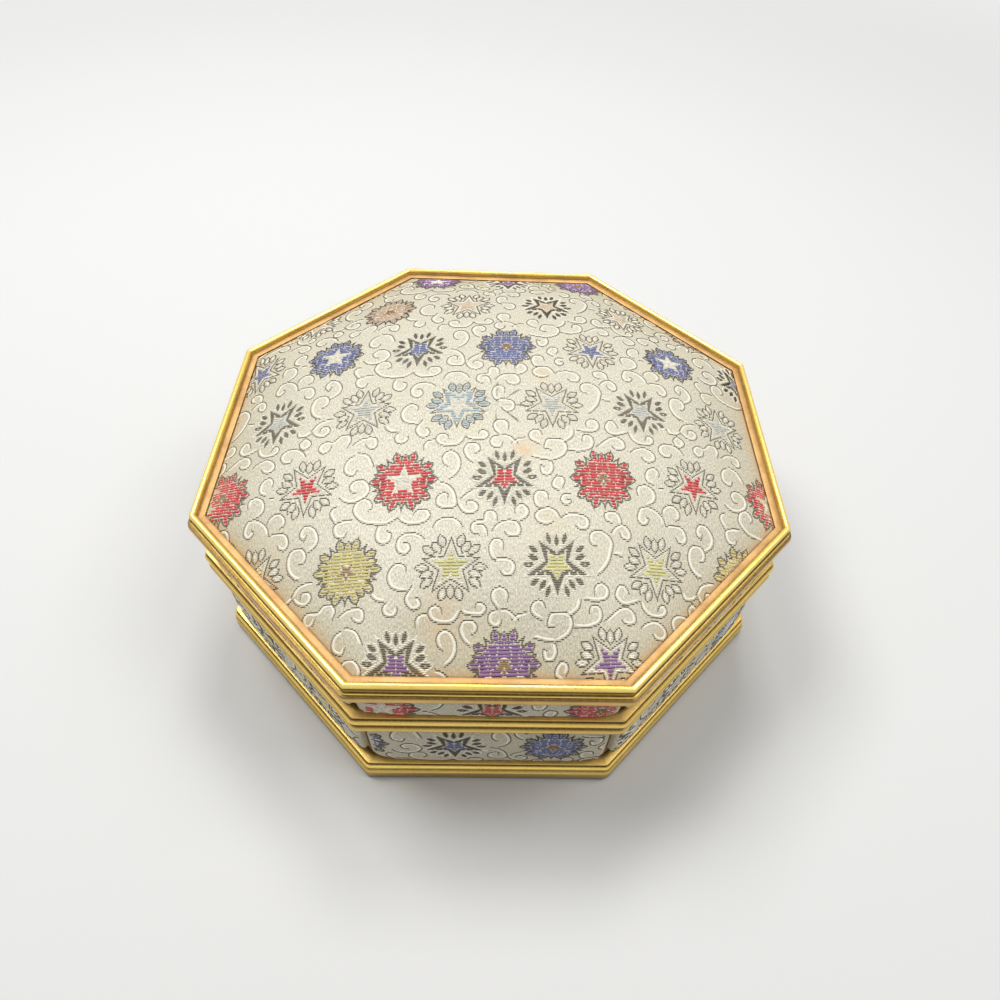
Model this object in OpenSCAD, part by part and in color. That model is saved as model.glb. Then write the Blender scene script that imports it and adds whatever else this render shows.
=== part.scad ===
// Octagonal brocade keepsake box with a hinged, cushioned lid and brass mouldings.
// The origin is on the table under the middle of the box, +Z up, the front faces -Y.

/* [Carcass] */
// Width of the board carcass across its flats
carcass_w = 145; // [110:1:200]
// Thickness of the side walls
wall_t = 3; // [2.6:0.1:4]
// Thickness of the floor board
floor_t = 3; // [2:0.1:5]
// Thickness of the lid's top board
top_t = 3; // [2:0.1:5]
// Height of the base's side wall above its floor board
base_wall_h = 29.1; // [22:0.1:60]
// Height of the lid's side wall
lid_wall_h = 13.1; // [12:0.1:30]
// Air between the closed lid and the base
parting_gap = 0.2; // [0.1:0.05:0.5]
// Thickness of the felt under the base
felt_t = 0.8; // [0.5:0.1:2]
// How far the felt stays inside the carcass
felt_inset = 1.5; // [0.5:0.1:6]
// Glue line between parts that are stuck together
glue = 0.1; // [0.05:0.05:0.2]

/* [Mouldings] */
// How far the rim moulding's inner lip covers the cushion
rim_lip = 1; // [0.5:0.1:3]
// Height of the rim moulding from its underside to the crest of its bead
rim_h = 6.2; // [5.6:0.1:9]
// Height of the rim moulding's bead over its lip
bead_over_lip = 1.6; // [1.5:0.1:2.2]
// Radius of the bead along the rim moulding
rim_bead_r = 0.8; // [0.6:0.05:0.9]
// How far the middle of the rim moulding's bead stands out from the carcass
rim_bead_o = 1.55; // [1.2:0.05:1.7]
// Radius of the cove under the rim moulding's bead
cove_r = 0.75; // [0.5:0.05:0.85]
// Radius of the small step under the cove
step_r = 0.3; // [0.2:0.05:0.35]
// Swell of the rim moulding's face
face_swell = 0.6; // [0.2:0.1:0.8]
// How far the rim moulding's swelled face stands out from the carcass
rim_out = 3.6; // [3.3:0.1:4.5]
// Height of the lid's lower moulding
lid_mould_h = 4.3; // [3.8:0.1:6]
// Height of the base's upper moulding
base_mould_h = 3; // [2.8:0.1:5]
// Height of the base's bottom moulding
foot_mould_h = 7; // [6.2:0.1:12]
// Radius of the bead along the three lower mouldings
bead_r = 0.9; // [0.7:0.05:1]
// How far the beads of the lower mouldings stand out from the carcass
bead_out = 3.5; // [3.2:0.1:4]
// How far the ledges over those beads stand out from the carcass
ledge_out = 2.7; // [2.2:0.1:2.8]
// How far the foot of the bottom moulding stands out from the carcass
foot_out = 4.1; // [3.6:0.1:5]
// Clearance between the bottom moulding and the table
foot_lift = 0.6; // [0.3:0.1:1.5]
// Thickness of the mouldings' lips over the wall edges
lip_t = 0.5; // [0.3:0.05:0.8]
// Radius of the bends at the outer corners of the mouldings
bend_r = 1.3; // [0.8:0.1:2]

/* [Upholstery] */
// Rise of the lid cushion from its edge to its crown
crown_rise = 12; // [4:0.1:20]
// Height of the cushion's edge above the lid's top board
cushion_edge = 1.2; // [1:0.1:2]
// Thickness of the brocade
brocade_t = 0.5; // [0.3:0.05:0.7]
// Thickness of a side panel at its edges
panel_edge = 1.1; // [0.9:0.1:1.5]
// Swell of a base panel's middle over its edges
base_panel_swell = 1.7; // [0.5:0.1:2.2]
// Swell of a lid panel's middle over its edges
lid_panel_swell = 1.4; // [0.5:0.1:2]
// Gap left between neighbouring side panels at each corner
panel_gap = 1.2; // [0.8:0.1:4]

/* [Lining] */
// Thickness of the satin lining on the walls
lining_t = 1.2; // [0.8:0.1:2]
// How far the wall linings stay back from the open edges
lining_back = 0.8; // [0.3:0.1:3]
// Thickness of the cards under the inner pads
card_t = 1; // [0.6:0.1:2]
// Thickness of the inner pads at their edges
pad_edge = 1.2; // [0.8:0.1:3]
// Swell of the inner pads' middles over their edges
pad_swell = 1.4; // [0.5:0.1:2]

/* [Hinge] */
// Length of the hinge
hinge_l = 38; // [30:1:44]
// Number of knuckles
knuckles = 5; // [3:2:7]
// Outer radius of the knuckles
knuckle_r = 1.6; // [1.4:0.05:1.8]
// Radius of the pin
pin_r = 0.75; // [0.6:0.05:0.9]
// Radial clearance of the pin in the knuckles
pin_fit = 0.05; // [0.02:0.01:0.1]
// Gap between the knuckles and the mouldings
hinge_clear = 0.2; // [0.1:0.05:0.5]
// Thickness of the leaves
leaf_t = 0.7; // [0.5:0.05:0.9]
// Gap between the leaves of the closed hinge
leaf_gap = 0.1; // [0.1:0.05:0.2]
// How far the leaves stay back from the walls' inner faces
leaf_inset = 0.4; // [0.2:0.1:0.8]
// Gap between neighbouring knuckles
knuckle_gap = 0.2; // [0.1:0.05:0.4]
// Radius of the hinge screws' shanks
screw_r = 0.5; // [0.4:0.05:0.7]
// Length of the hinge screws
screw_l = 6; // [4:0.5:8]
// Spacing of the hinge screws along a leaf
screw_pitch = 9; // [7:0.5:10]

/* [Hidden] */
$fn = 48;

sides = 8;
turn = 360 / sides;
bends = 3;
carcass = carcass_w / 2;
inner = carcass - wall_t;

// Levels from the table upwards
floor_z = felt_t;
base_wall_z = floor_z + floor_t;
base_wall_top = base_wall_z + base_wall_h;
parting_low = base_wall_top + lip_t;
parting_high = parting_low + parting_gap;
lid_wall_z = parting_high + lip_t;
lid_wall_top = lid_wall_z + lid_wall_h;
board_top = lid_wall_top + top_t;
cushion_z = board_top + glue;
cushion_edge_z = board_top + cushion_edge;
lip_top = cushion_edge_z + glue + lip_t;

rim_top = lip_top + bead_over_lip;
rim_low = rim_top - rim_h;
lid_ledge = parting_high + lid_mould_h;
base_upper_low = parting_low - base_mould_h;
foot_ledge = foot_lift + foot_mould_h;

// Hinge
axis_z = (parting_low + parting_high) / 2;
axis_y = carcass + max(bead_out, rim_out) + hinge_clear + knuckle_r;
leaf_back = inner + leaf_inset;
screw_y = inner + wall_t / 2;
knuckle_l = hinge_l / knuckles;
leaf_room = 0.15;
head_r = 2.1 * screw_r;
head_h = 0.8 * leaf_t;

// Arc of n steps about a centre, from angle a to angle b
function arc(centre, r, a, b, n) = [
    for (i = [0:n])
        let (t = a + (b - a) * i / n)
            [centre[0] + r * cos(t), centre[1] + r * sin(t)]
];

// One turn of points round the box: apothem a, height z, corners of radius rho
function ring(a, z, rho) = [
    for (i = [0:sides - 1])
        for (j = [0:bends])
            let (
                heading = turn * (i + 0.5),
                reach = (a - rho) / cos(turn / 2),
                t = turn * (i + j / bends)
            )
                [reach * cos(heading) + rho * cos(t), reach * sin(heading) + rho * sin(t), z]
];

// Corner radius of a moulding's ring that stands out from the carcass by o
function bend_at(o) = glue + (bend_r - glue) * min(max(o / 2, 0), 1);

function cat(lists) = [for (l = lists) each l];
ring_n = sides * (bends + 1);

// Two triangles for each step between ring k and ring m
function skin_faces(k, m) = [
    for (j = [0:ring_n - 1])
        let (n = (j + 1) % ring_n)
            each [
                [k * ring_n + j, k * ring_n + n, m * ring_n + n],
                [k * ring_n + j, m * ring_n + n, m * ring_n + j]
            ]
];

// Closed band: a profile of [offset from the carcass, height] carried round the box
module band(profile) {
    count = len(profile);
    polyhedron(
        points = cat([for (p = profile) ring(carcass + p[0], p[1], bend_at(p[0]))]),
        faces = cat([for (k = [0:count - 1]) skin_faces(k, (k + 1) % count)]),
        convexity = 8
    );
}

// Solid between a first and a last ring, closed by a flat cap at each
module loft(rings) {
    last = len(rings) - 1;
    polyhedron(
        points = cat([for (r = rings) ring(r[0], r[1], r[2])]),
        faces = cat([
            [[for (j = [ring_n - 1:-1:0]) j]],
            for (k = [0:last - 1]) skin_faces(k, k + 1),
            [[for (j = [0:ring_n - 1]) last * ring_n + j]]
        ]),
        convexity = 6
    );
}

// Straight octagonal slab with flats at apothem a
module slab(a, z, h) {
    translate([0, 0, z])
        rotate(turn / 2)
            cylinder(r = a / cos(turn / 2), h = h, $fn = sides);
}

// Straight octagonal wall between two apothems
module octagon_wall(outer_a, inner_a, z, h) {
    difference() {
        slab(outer_a, z, h);
        slab(inner_a, z - 1, h + 2);
    }
}

/* Crown of a pad: at share s of the way from the middle to the edge the rings change from
   circles to the octagon of the edge, and the height falls from 1 to 0 */
crown_shares = [0.12, 0.3, 0.46, 0.6, 0.72, 0.82, 0.9, 0.96, 1];
function crown_height(s) = pow(1 - s * s, 0.7);
function crown_round(s) = 1 - pow(s, 2.2);

// Rings of a crowned pad from its middle to its edge, of apothem a
function crown_rings(a, edge_z, rise) = [
    for (s = crown_shares)
        [a * s, edge_z + rise * crown_height(s), a * s * crown_round(s) + bend_at(0)]
];
function turned_over(rings) = [for (k = [len(rings) - 1:-1:0]) rings[k]];

// Side panels: a pillow over a grid that is finer towards its edges
panel_nu = 6;
function spread(i, n) = sin(90 * (2 * i / n - 1));
function pillow(u, v) = sqrt(1 - pow(abs(u), 6)) * sqrt(1 - pow(abs(v), 4));
function pillow_grid(w, h, edge, swell, nv) = [
    for (i = [0:panel_nu])
        for (j = [0:nv])
            let (u = spread(i, panel_nu), v = spread(j, nv))
                [edge + swell * pillow(u, v), u * w / 2, v * h / 2]
];
// The grid's border, once round, as index numbers
function border(nv) = [
    for (i = [0:panel_nu - 1]) i * (nv + 1),
    for (j = [0:nv - 1]) panel_nu * (nv + 1) + j,
    for (i = [panel_nu:-1:1]) i * (nv + 1) + nv,
    for (j = [nv:-1:1]) j
];
function grid_faces(nv, start, flip) = [
    for (i = [0:panel_nu - 1])
        for (j = [0:nv - 1])
            let (
                a = start + i * (nv + 1) + j,
                b = a + nv + 1
            )
                each flip
                    ? [[a, b, b + 1], [a, b + 1, a + 1]]
                    : [[a, b + 1, b], [a, a + 1, b + 1]]
];
// Two triangles for each step between two loops of index numbers
function loop_faces(upper, lower) = [
    for (k = [0:len(upper) - 1])
        let (n = (k + 1) % len(upper))
            each [[upper[k], upper[n], lower[n]], [upper[k], lower[n], lower[k]]]
];
function count_from(start, n) = [for (k = [0:n - 1]) start + k];
function shifted(list, by) = [for (k = list) k + by];

// Filling of one panel, flat on the wall at x = glue
module panel_filling(w, h, edge, swell, nv) {
    top = pillow_grid(w, h, edge, swell, nv);
    rim = border(nv);
    foot = [for (k = rim) [glue, top[k][1], top[k][2]]];
    n = len(rim);
    foot_loop = count_from(len(top), n);
    middle = len(top) + n;
    polyhedron(
        points = cat([top, foot, [[glue, 0, 0]]]),
        faces = cat([
            grid_faces(nv, 0, false),
            loop_faces(rim, foot_loop),
            [for (k = [0:n - 1]) [foot_loop[k], foot_loop[(k + 1) % n], middle]]
        ]),
        convexity = 4
    );
}

// Cloth of one panel, drawn over the filling and turned down to the wall
module panel_cloth(w, h, edge, swell, nv) {
    top = pillow_grid(w, h, edge, swell, nv);
    under = pillow_grid(w - 2 * brocade_t, h - 2 * brocade_t, edge - brocade_t, swell, nv);
    rim = border(nv);
    foot = [for (k = rim) [glue, top[k][1], top[k][2]]];
    inside = [for (k = rim) [glue, under[k][1], under[k][2]]];
    n = len(top);
    foot_loop = count_from(2 * n, len(rim));
    inside_loop = count_from(2 * n + len(rim), len(rim));
    polyhedron(
        points = cat([top, under, foot, inside]),
        faces = cat([
            grid_faces(nv, 0, false),
            grid_faces(nv, n, true),
            loop_faces(rim, foot_loop),
            loop_faces(foot_loop, inside_loop),
            loop_faces(inside_loop, shifted(rim, n))
        ]),
        convexity = 6
    );
}

panel_w = 2 * carcass * tan(turn / 2) - panel_gap;
base_panel_z = [foot_ledge + glue, base_upper_low - glue];
lid_panel_z = [lid_ledge + glue, rim_low - glue];

// Places its child on each of the eight walls
module on_each_wall(z_range) {
    for (i = [0:sides - 1])
        rotate(turn * i)
            translate([carcass, 0, (z_range[0] + z_range[1]) / 2])
                children();
}

module panel_fillings(z_range, swell, nv) {
    inset = brocade_t + glue;
    on_each_wall(z_range)
        panel_filling(
            panel_w - 2 * inset, z_range[1] - z_range[0] - 2 * inset, panel_edge - inset, swell, nv
        );
}

module panel_cloths(z_range, swell, nv) {
    on_each_wall(z_range)
        panel_cloth(panel_w, z_range[1] - z_range[0], panel_edge, swell, nv);
}

// Room for the hinge leaves in a wall edge or a moulding, between two levels
module hinge_room(z0, z1) {
    translate([-hinge_l / 2 - leaf_room, leaf_back - leaf_room, z0])
        cube([hinge_l + 2 * leaf_room, axis_y - leaf_back, z1 - z0]);
}

screw_count = 4;
module at_screws() {
    for (i = [0:screw_count - 1])
        translate([(i - (screw_count - 1) / 2) * screw_pitch, screw_y, 0])
            children();
}

leaf_low_z = axis_z - leaf_gap / 2 - leaf_t;
leaf_high_z = axis_z + leaf_gap / 2;

// One leaf: its plate lies below the axis, its knuckles are every second one from first
module leaf(first) {
    difference() {
        union() {
            translate([-hinge_l / 2, leaf_back, leaf_low_z])
                cube([hinge_l, axis_y - leaf_back, leaf_t]);
            for (i = [first:2:knuckles - 1])
                translate([-hinge_l / 2 + i * knuckle_l + knuckle_gap / 2, axis_y, axis_z])
                    rotate([0, 90, 0])
                        cylinder(r = knuckle_r, h = knuckle_l - knuckle_gap);
        }
        for (i = [1 - first:2:knuckles - 1])
            translate([
                -hinge_l / 2 + i * knuckle_l - knuckle_gap / 2, axis_y - knuckle_r - knuckle_gap, leaf_low_z - 1
            ])
                cube([knuckle_l + knuckle_gap, 2 * knuckle_r + 1, leaf_t + 2]);
        translate([-hinge_l, axis_y, axis_z])
            rotate([0, 90, 0])
                cylinder(r = pin_r + pin_fit, h = 2 * hinge_l);
        at_screws() {
            translate([0, 0, leaf_low_z - 1])
                cylinder(r = screw_r + pin_fit, h = leaf_t + 2);
            translate([0, 0, leaf_low_z + leaf_t - head_h])
                cylinder(r1 = screw_r + pin_fit, r2 = head_r + pin_fit, h = head_h + 0.001);
        }
    }
}

// Countersunk screws through the plate of a leaf
module screws() {
    at_screws() {
        translate([0, 0, leaf_low_z + leaf_t - screw_l])
            cylinder(r = screw_r, h = screw_l - head_h);
        translate([0, 0, leaf_low_z + leaf_t - head_h])
            cylinder(r1 = screw_r, r2 = head_r, h = head_h);
    }
}

module pilot_holes() {
    at_screws()
        translate([0, 0, leaf_low_z + leaf_t - screw_l - glue])
            cylinder(r = screw_r + pin_fit, h = screw_l);
}

// Turns a base part of the hinge over into the lid's
module mirrored_to_lid() {
    translate([0, 0, axis_z])
        mirror([0, 0, 1])
            translate([0, 0, -axis_z])
                children();
}

/* Profile of the rim moulding, as offsets from the carcass and heights: a lip that slopes up
   to the bead, then a cove, a small step and a face that swells most at share face_peak of
   its height */
bead_c = [rim_bead_o, rim_top - rim_bead_r];
cove_c = [rim_bead_o + rim_bead_r + 0.6 * cove_r, bead_c[1] - rim_bead_r - 0.4 * cove_r];
step_c = [cove_c[0] - 0.35 * cove_r, cove_c[1] - cove_r - step_r / 2];
quirk = 0.1;
face_z = step_c[1] - step_r - quirk;
face_h = face_z - rim_low - quirk;
face_peak = 0.4;
function face_share(t) = 1 - pow((t - face_peak) / (1 - face_peak), 2);
function swelled_face(n) = [
    for (i = [0:n])
        let (t = i / n)
            [rim_out - face_swell + face_swell * face_share(t), face_z - face_h * t]
];
rim_profile = cat([
    [[-rim_lip, lip_top]],
    [[rim_bead_o - rim_bead_r - quirk, bead_c[1] - rim_bead_r / 2 + quirk]],
    arc(bead_c, rim_bead_r, 205, -40, 8),
    arc(cove_c, cove_r, 140, 235, 3),
    arc(step_c, step_r, 70, -70, 3),
    swelled_face(4),
    [[glue, rim_low]],
    [[glue, lip_top - lip_t]],
    [[-rim_lip, lip_top - lip_t]]
]);

// The three lower mouldings share one bead, and lips turn in over or under the wall edges
low_bead_o = bead_out - bead_r;
ledge_drop = 0.2;
lip_end = glue - wall_t;
lip_face = lip_t - glue / 2;

// Bead of a lower moulding with its centre at height z, from just under its top round to an angle
function low_bead(z, last) = arc([low_bead_o, z], bead_r, 75, last, 6);
// Ledge above a bead at height z, from the wall outwards and down to the bead
function ledge(top_z, z) = [
    [glue, top_z],
    [ledge_out, top_z - ledge_drop],
    [ledge_out, z + bead_r + quirk]
];

lid_bead_z = parting_high + lid_mould_h / 2;
lid_lower_profile = cat([
    ledge(lid_ledge, lid_bead_z),
    low_bead(lid_bead_z, -75),
    [[low_bead_o + quirk, parting_high + 4 * quirk]],
    [[low_bead_o - 2 * quirk, parting_high]],
    [[lip_end, parting_high]],
    [[lip_end, parting_high + lip_face]],
    [[glue, parting_high + lip_face]]
]);

base_bead_z = base_upper_low + base_mould_h / 2;
base_upper_profile = cat([
    [[glue, parting_low - lip_face]],
    [[lip_end, parting_low - lip_face]],
    [[lip_end, parting_low]],
    [[low_bead_o - 2 * quirk, parting_low]],
    [[low_bead_o + quirk, parting_low - 4 * quirk]],
    low_bead(base_bead_z, -75),
    [[low_bead_o - 2 * quirk, base_upper_low]],
    [[glue, base_upper_low]]
]);

// Below its bead the bottom moulding spreads to a plain foot
foot_bead_drop = 1.1;
foot_bead_z = foot_ledge - bead_r - foot_bead_drop;
foot_chamfer = 0.4;
foot_profile = cat([
    ledge(foot_ledge, foot_bead_z),
    low_bead(foot_bead_z, -60),
    [[bead_out - foot_chamfer, foot_bead_z - bead_r - 2 * quirk]],
    [[foot_out - foot_chamfer / 2, foot_bead_z - 2 * bead_r]],
    [[foot_out, foot_lift + foot_chamfer]],
    [[foot_out - foot_chamfer, foot_lift]],
    [[glue, foot_lift]]
]);

// Base
module base_felt() {
    color("darkgreen")
        slab(carcass - felt_inset, 0, felt_t);
}

module base_floor_board() {
    color("burlywood")
        slab(carcass, floor_z, floor_t);
}

module base_wall() {
    color("burlywood")
        difference() {
            octagon_wall(carcass, inner, base_wall_z, base_wall_h);
            hinge_room(leaf_low_z - leaf_room / 2, parting_high + 1);
            pilot_holes();
        }
}

module base_panel_wadding() {
    color("ivory")
        panel_fillings(base_panel_z, base_panel_swell, 4);
}

module base_panel_brocade() {
    color("silver")
        panel_cloths(base_panel_z, base_panel_swell, 4);
}

module base_foot_moulding() {
    color("gold")
        band(foot_profile);
}

module base_upper_moulding() {
    color("gold")
        difference() {
            band(base_upper_profile);
            hinge_room(leaf_low_z - leaf_room / 2, parting_high + 1);
        }
}

floor_pad_z = base_wall_z + card_t + glue;
pad_a = inner - lining_t - 3 * glue;

module base_wall_lining() {
    color("lightgoldenrodyellow")
        octagon_wall(
            inner - glue, inner - glue - lining_t, base_wall_z, base_wall_h - lining_back
        );
}

module base_floor_card() {
    color("tan")
        slab(pad_a, base_wall_z, card_t);
}

module base_floor_pad() {
    color("lightgoldenrodyellow")
        loft(cat([
            crown_rings(pad_a, floor_pad_z + pad_edge, pad_swell),
            [[pad_a, floor_pad_z, bend_at(0)]]
        ]));
}

// Hinge
module hinge_base_leaf() {
    color("goldenrod")
        leaf(0);
}

module hinge_base_screws() {
    color("goldenrod")
        screws();
}

module hinge_pin() {
    color("goldenrod")
        translate([0, axis_y, axis_z])
            rotate([0, 90, 0])
                cylinder(r = pin_r, h = hinge_l, center = true);
}

module hinge_lid_leaf() {
    color("goldenrod")
        mirrored_to_lid()
            leaf(1);
}

module hinge_lid_screws() {
    color("goldenrod")
        mirrored_to_lid()
            screws();
}

// Lid
module lid_wall() {
    color("burlywood")
        difference() {
            octagon_wall(carcass, inner, lid_wall_z, lid_wall_h);
            hinge_room(parting_low - 1, leaf_high_z + leaf_t + leaf_room / 2);
            mirrored_to_lid()
                pilot_holes();
        }
}

module lid_top_board() {
    color("burlywood")
        slab(carcass, lid_wall_top, top_t);
}

module lid_panel_wadding() {
    color("ivory")
        panel_fillings(lid_panel_z, lid_panel_swell, 3);
}

module lid_panel_brocade() {
    color("silver")
        panel_cloths(lid_panel_z, lid_panel_swell, 3);
}

module lid_lower_moulding() {
    color("gold")
        difference() {
            band(lid_lower_profile);
            hinge_room(parting_low - 1, leaf_high_z + leaf_t + leaf_room / 2);
        }
}

module lid_rim_moulding() {
    color("gold")
        band(rim_profile);
}

// The cushion's crown starts where the rim moulding's lip ends
crown_a = carcass - rim_lip;
cushion_a = carcass - glue;

module lid_cushion_wadding() {
    inset = brocade_t + glue;
    color("ivory")
        loft(cat([
            crown_rings(crown_a - inset, cushion_edge_z - inset, crown_rise),
            [[cushion_a - inset, cushion_edge_z - inset, bend_at(0)]],
            [[cushion_a - inset, cushion_z, bend_at(0)]]
        ]));
}

module lid_cushion_brocade() {
    color("silver")
        loft(cat([
            crown_rings(crown_a, cushion_edge_z, crown_rise),
            [[cushion_a, cushion_edge_z, bend_at(0)]],
            [[cushion_a, cushion_z, bend_at(0)]],
            [[cushion_a - brocade_t, cushion_z, bend_at(0)]],
            [[cushion_a - brocade_t, cushion_edge_z - brocade_t, bend_at(0)]],
            turned_over(crown_rings(crown_a - brocade_t, cushion_edge_z - brocade_t, crown_rise))
        ]));
}

ceiling_card_z = lid_wall_top - card_t;
ceiling_pad_z = ceiling_card_z - glue;

module lid_wall_lining() {
    color("lightgoldenrodyellow")
        octagon_wall(
            inner - glue, inner - glue - lining_t, lid_wall_z + lining_back, lid_wall_h - lining_back
        );
}

module lid_ceiling_card() {
    color("tan")
        slab(pad_a, ceiling_card_z, card_t);
}

module lid_ceiling_pad() {
    color("lightgoldenrodyellow")
        loft(cat([
            [[pad_a, ceiling_pad_z, bend_at(0)]],
            turned_over(crown_rings(pad_a, ceiling_pad_z - pad_edge, -pad_swell))
        ]));
}

base_floor_board();
base_wall();
base_panel_wadding();
base_panel_brocade();
base_foot_moulding();
base_upper_moulding();
base_felt();
base_wall_lining();
base_floor_card();
base_floor_pad();
hinge_base_leaf();
hinge_base_screws();
hinge_pin();
lid_wall();
lid_top_board();
lid_panel_wadding();
lid_panel_brocade();
lid_lower_moulding();
lid_rim_moulding();
lid_cushion_wadding();
lid_cushion_brocade();
lid_wall_lining();
lid_ceiling_card();
lid_ceiling_pad();
hinge_lid_leaf();
hinge_lid_screws();
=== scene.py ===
"""Looks of an octagonal keepsake box: brocade cushion and side panels, brass mouldings, satin lining."""

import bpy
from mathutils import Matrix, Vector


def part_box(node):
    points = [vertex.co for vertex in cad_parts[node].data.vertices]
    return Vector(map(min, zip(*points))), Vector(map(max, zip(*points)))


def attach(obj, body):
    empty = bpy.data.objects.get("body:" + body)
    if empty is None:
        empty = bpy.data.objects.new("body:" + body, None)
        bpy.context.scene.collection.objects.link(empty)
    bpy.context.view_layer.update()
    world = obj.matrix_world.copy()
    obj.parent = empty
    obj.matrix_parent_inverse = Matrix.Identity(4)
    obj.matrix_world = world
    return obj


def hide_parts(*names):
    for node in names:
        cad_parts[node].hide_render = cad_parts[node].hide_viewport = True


bl_info = {
    "name": "Octagonal brocade keepsake box",
    "version": (1, 0, 0),
    "blender": (4, 5, 0),
    "location": "View3D > Sidebar > Keepsake Box",
    "description": "Dresses the box in woven brocade, bent brass mouldings, satin and felt",
    "category": "Object",
}

import math

import bpy
import numpy as np
from bpy.props import FloatProperty, FloatVectorProperty, PointerProperty
from mathutils import Matrix, Vector

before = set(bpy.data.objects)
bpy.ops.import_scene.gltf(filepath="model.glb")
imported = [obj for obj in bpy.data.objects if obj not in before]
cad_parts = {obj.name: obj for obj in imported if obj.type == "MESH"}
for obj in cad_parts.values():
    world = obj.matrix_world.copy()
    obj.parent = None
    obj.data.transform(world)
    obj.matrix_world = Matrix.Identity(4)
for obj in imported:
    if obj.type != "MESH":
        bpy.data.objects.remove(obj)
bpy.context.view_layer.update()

MM = 0.001
SIDES = 8
TURN = 2 * math.pi / SIDES

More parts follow.
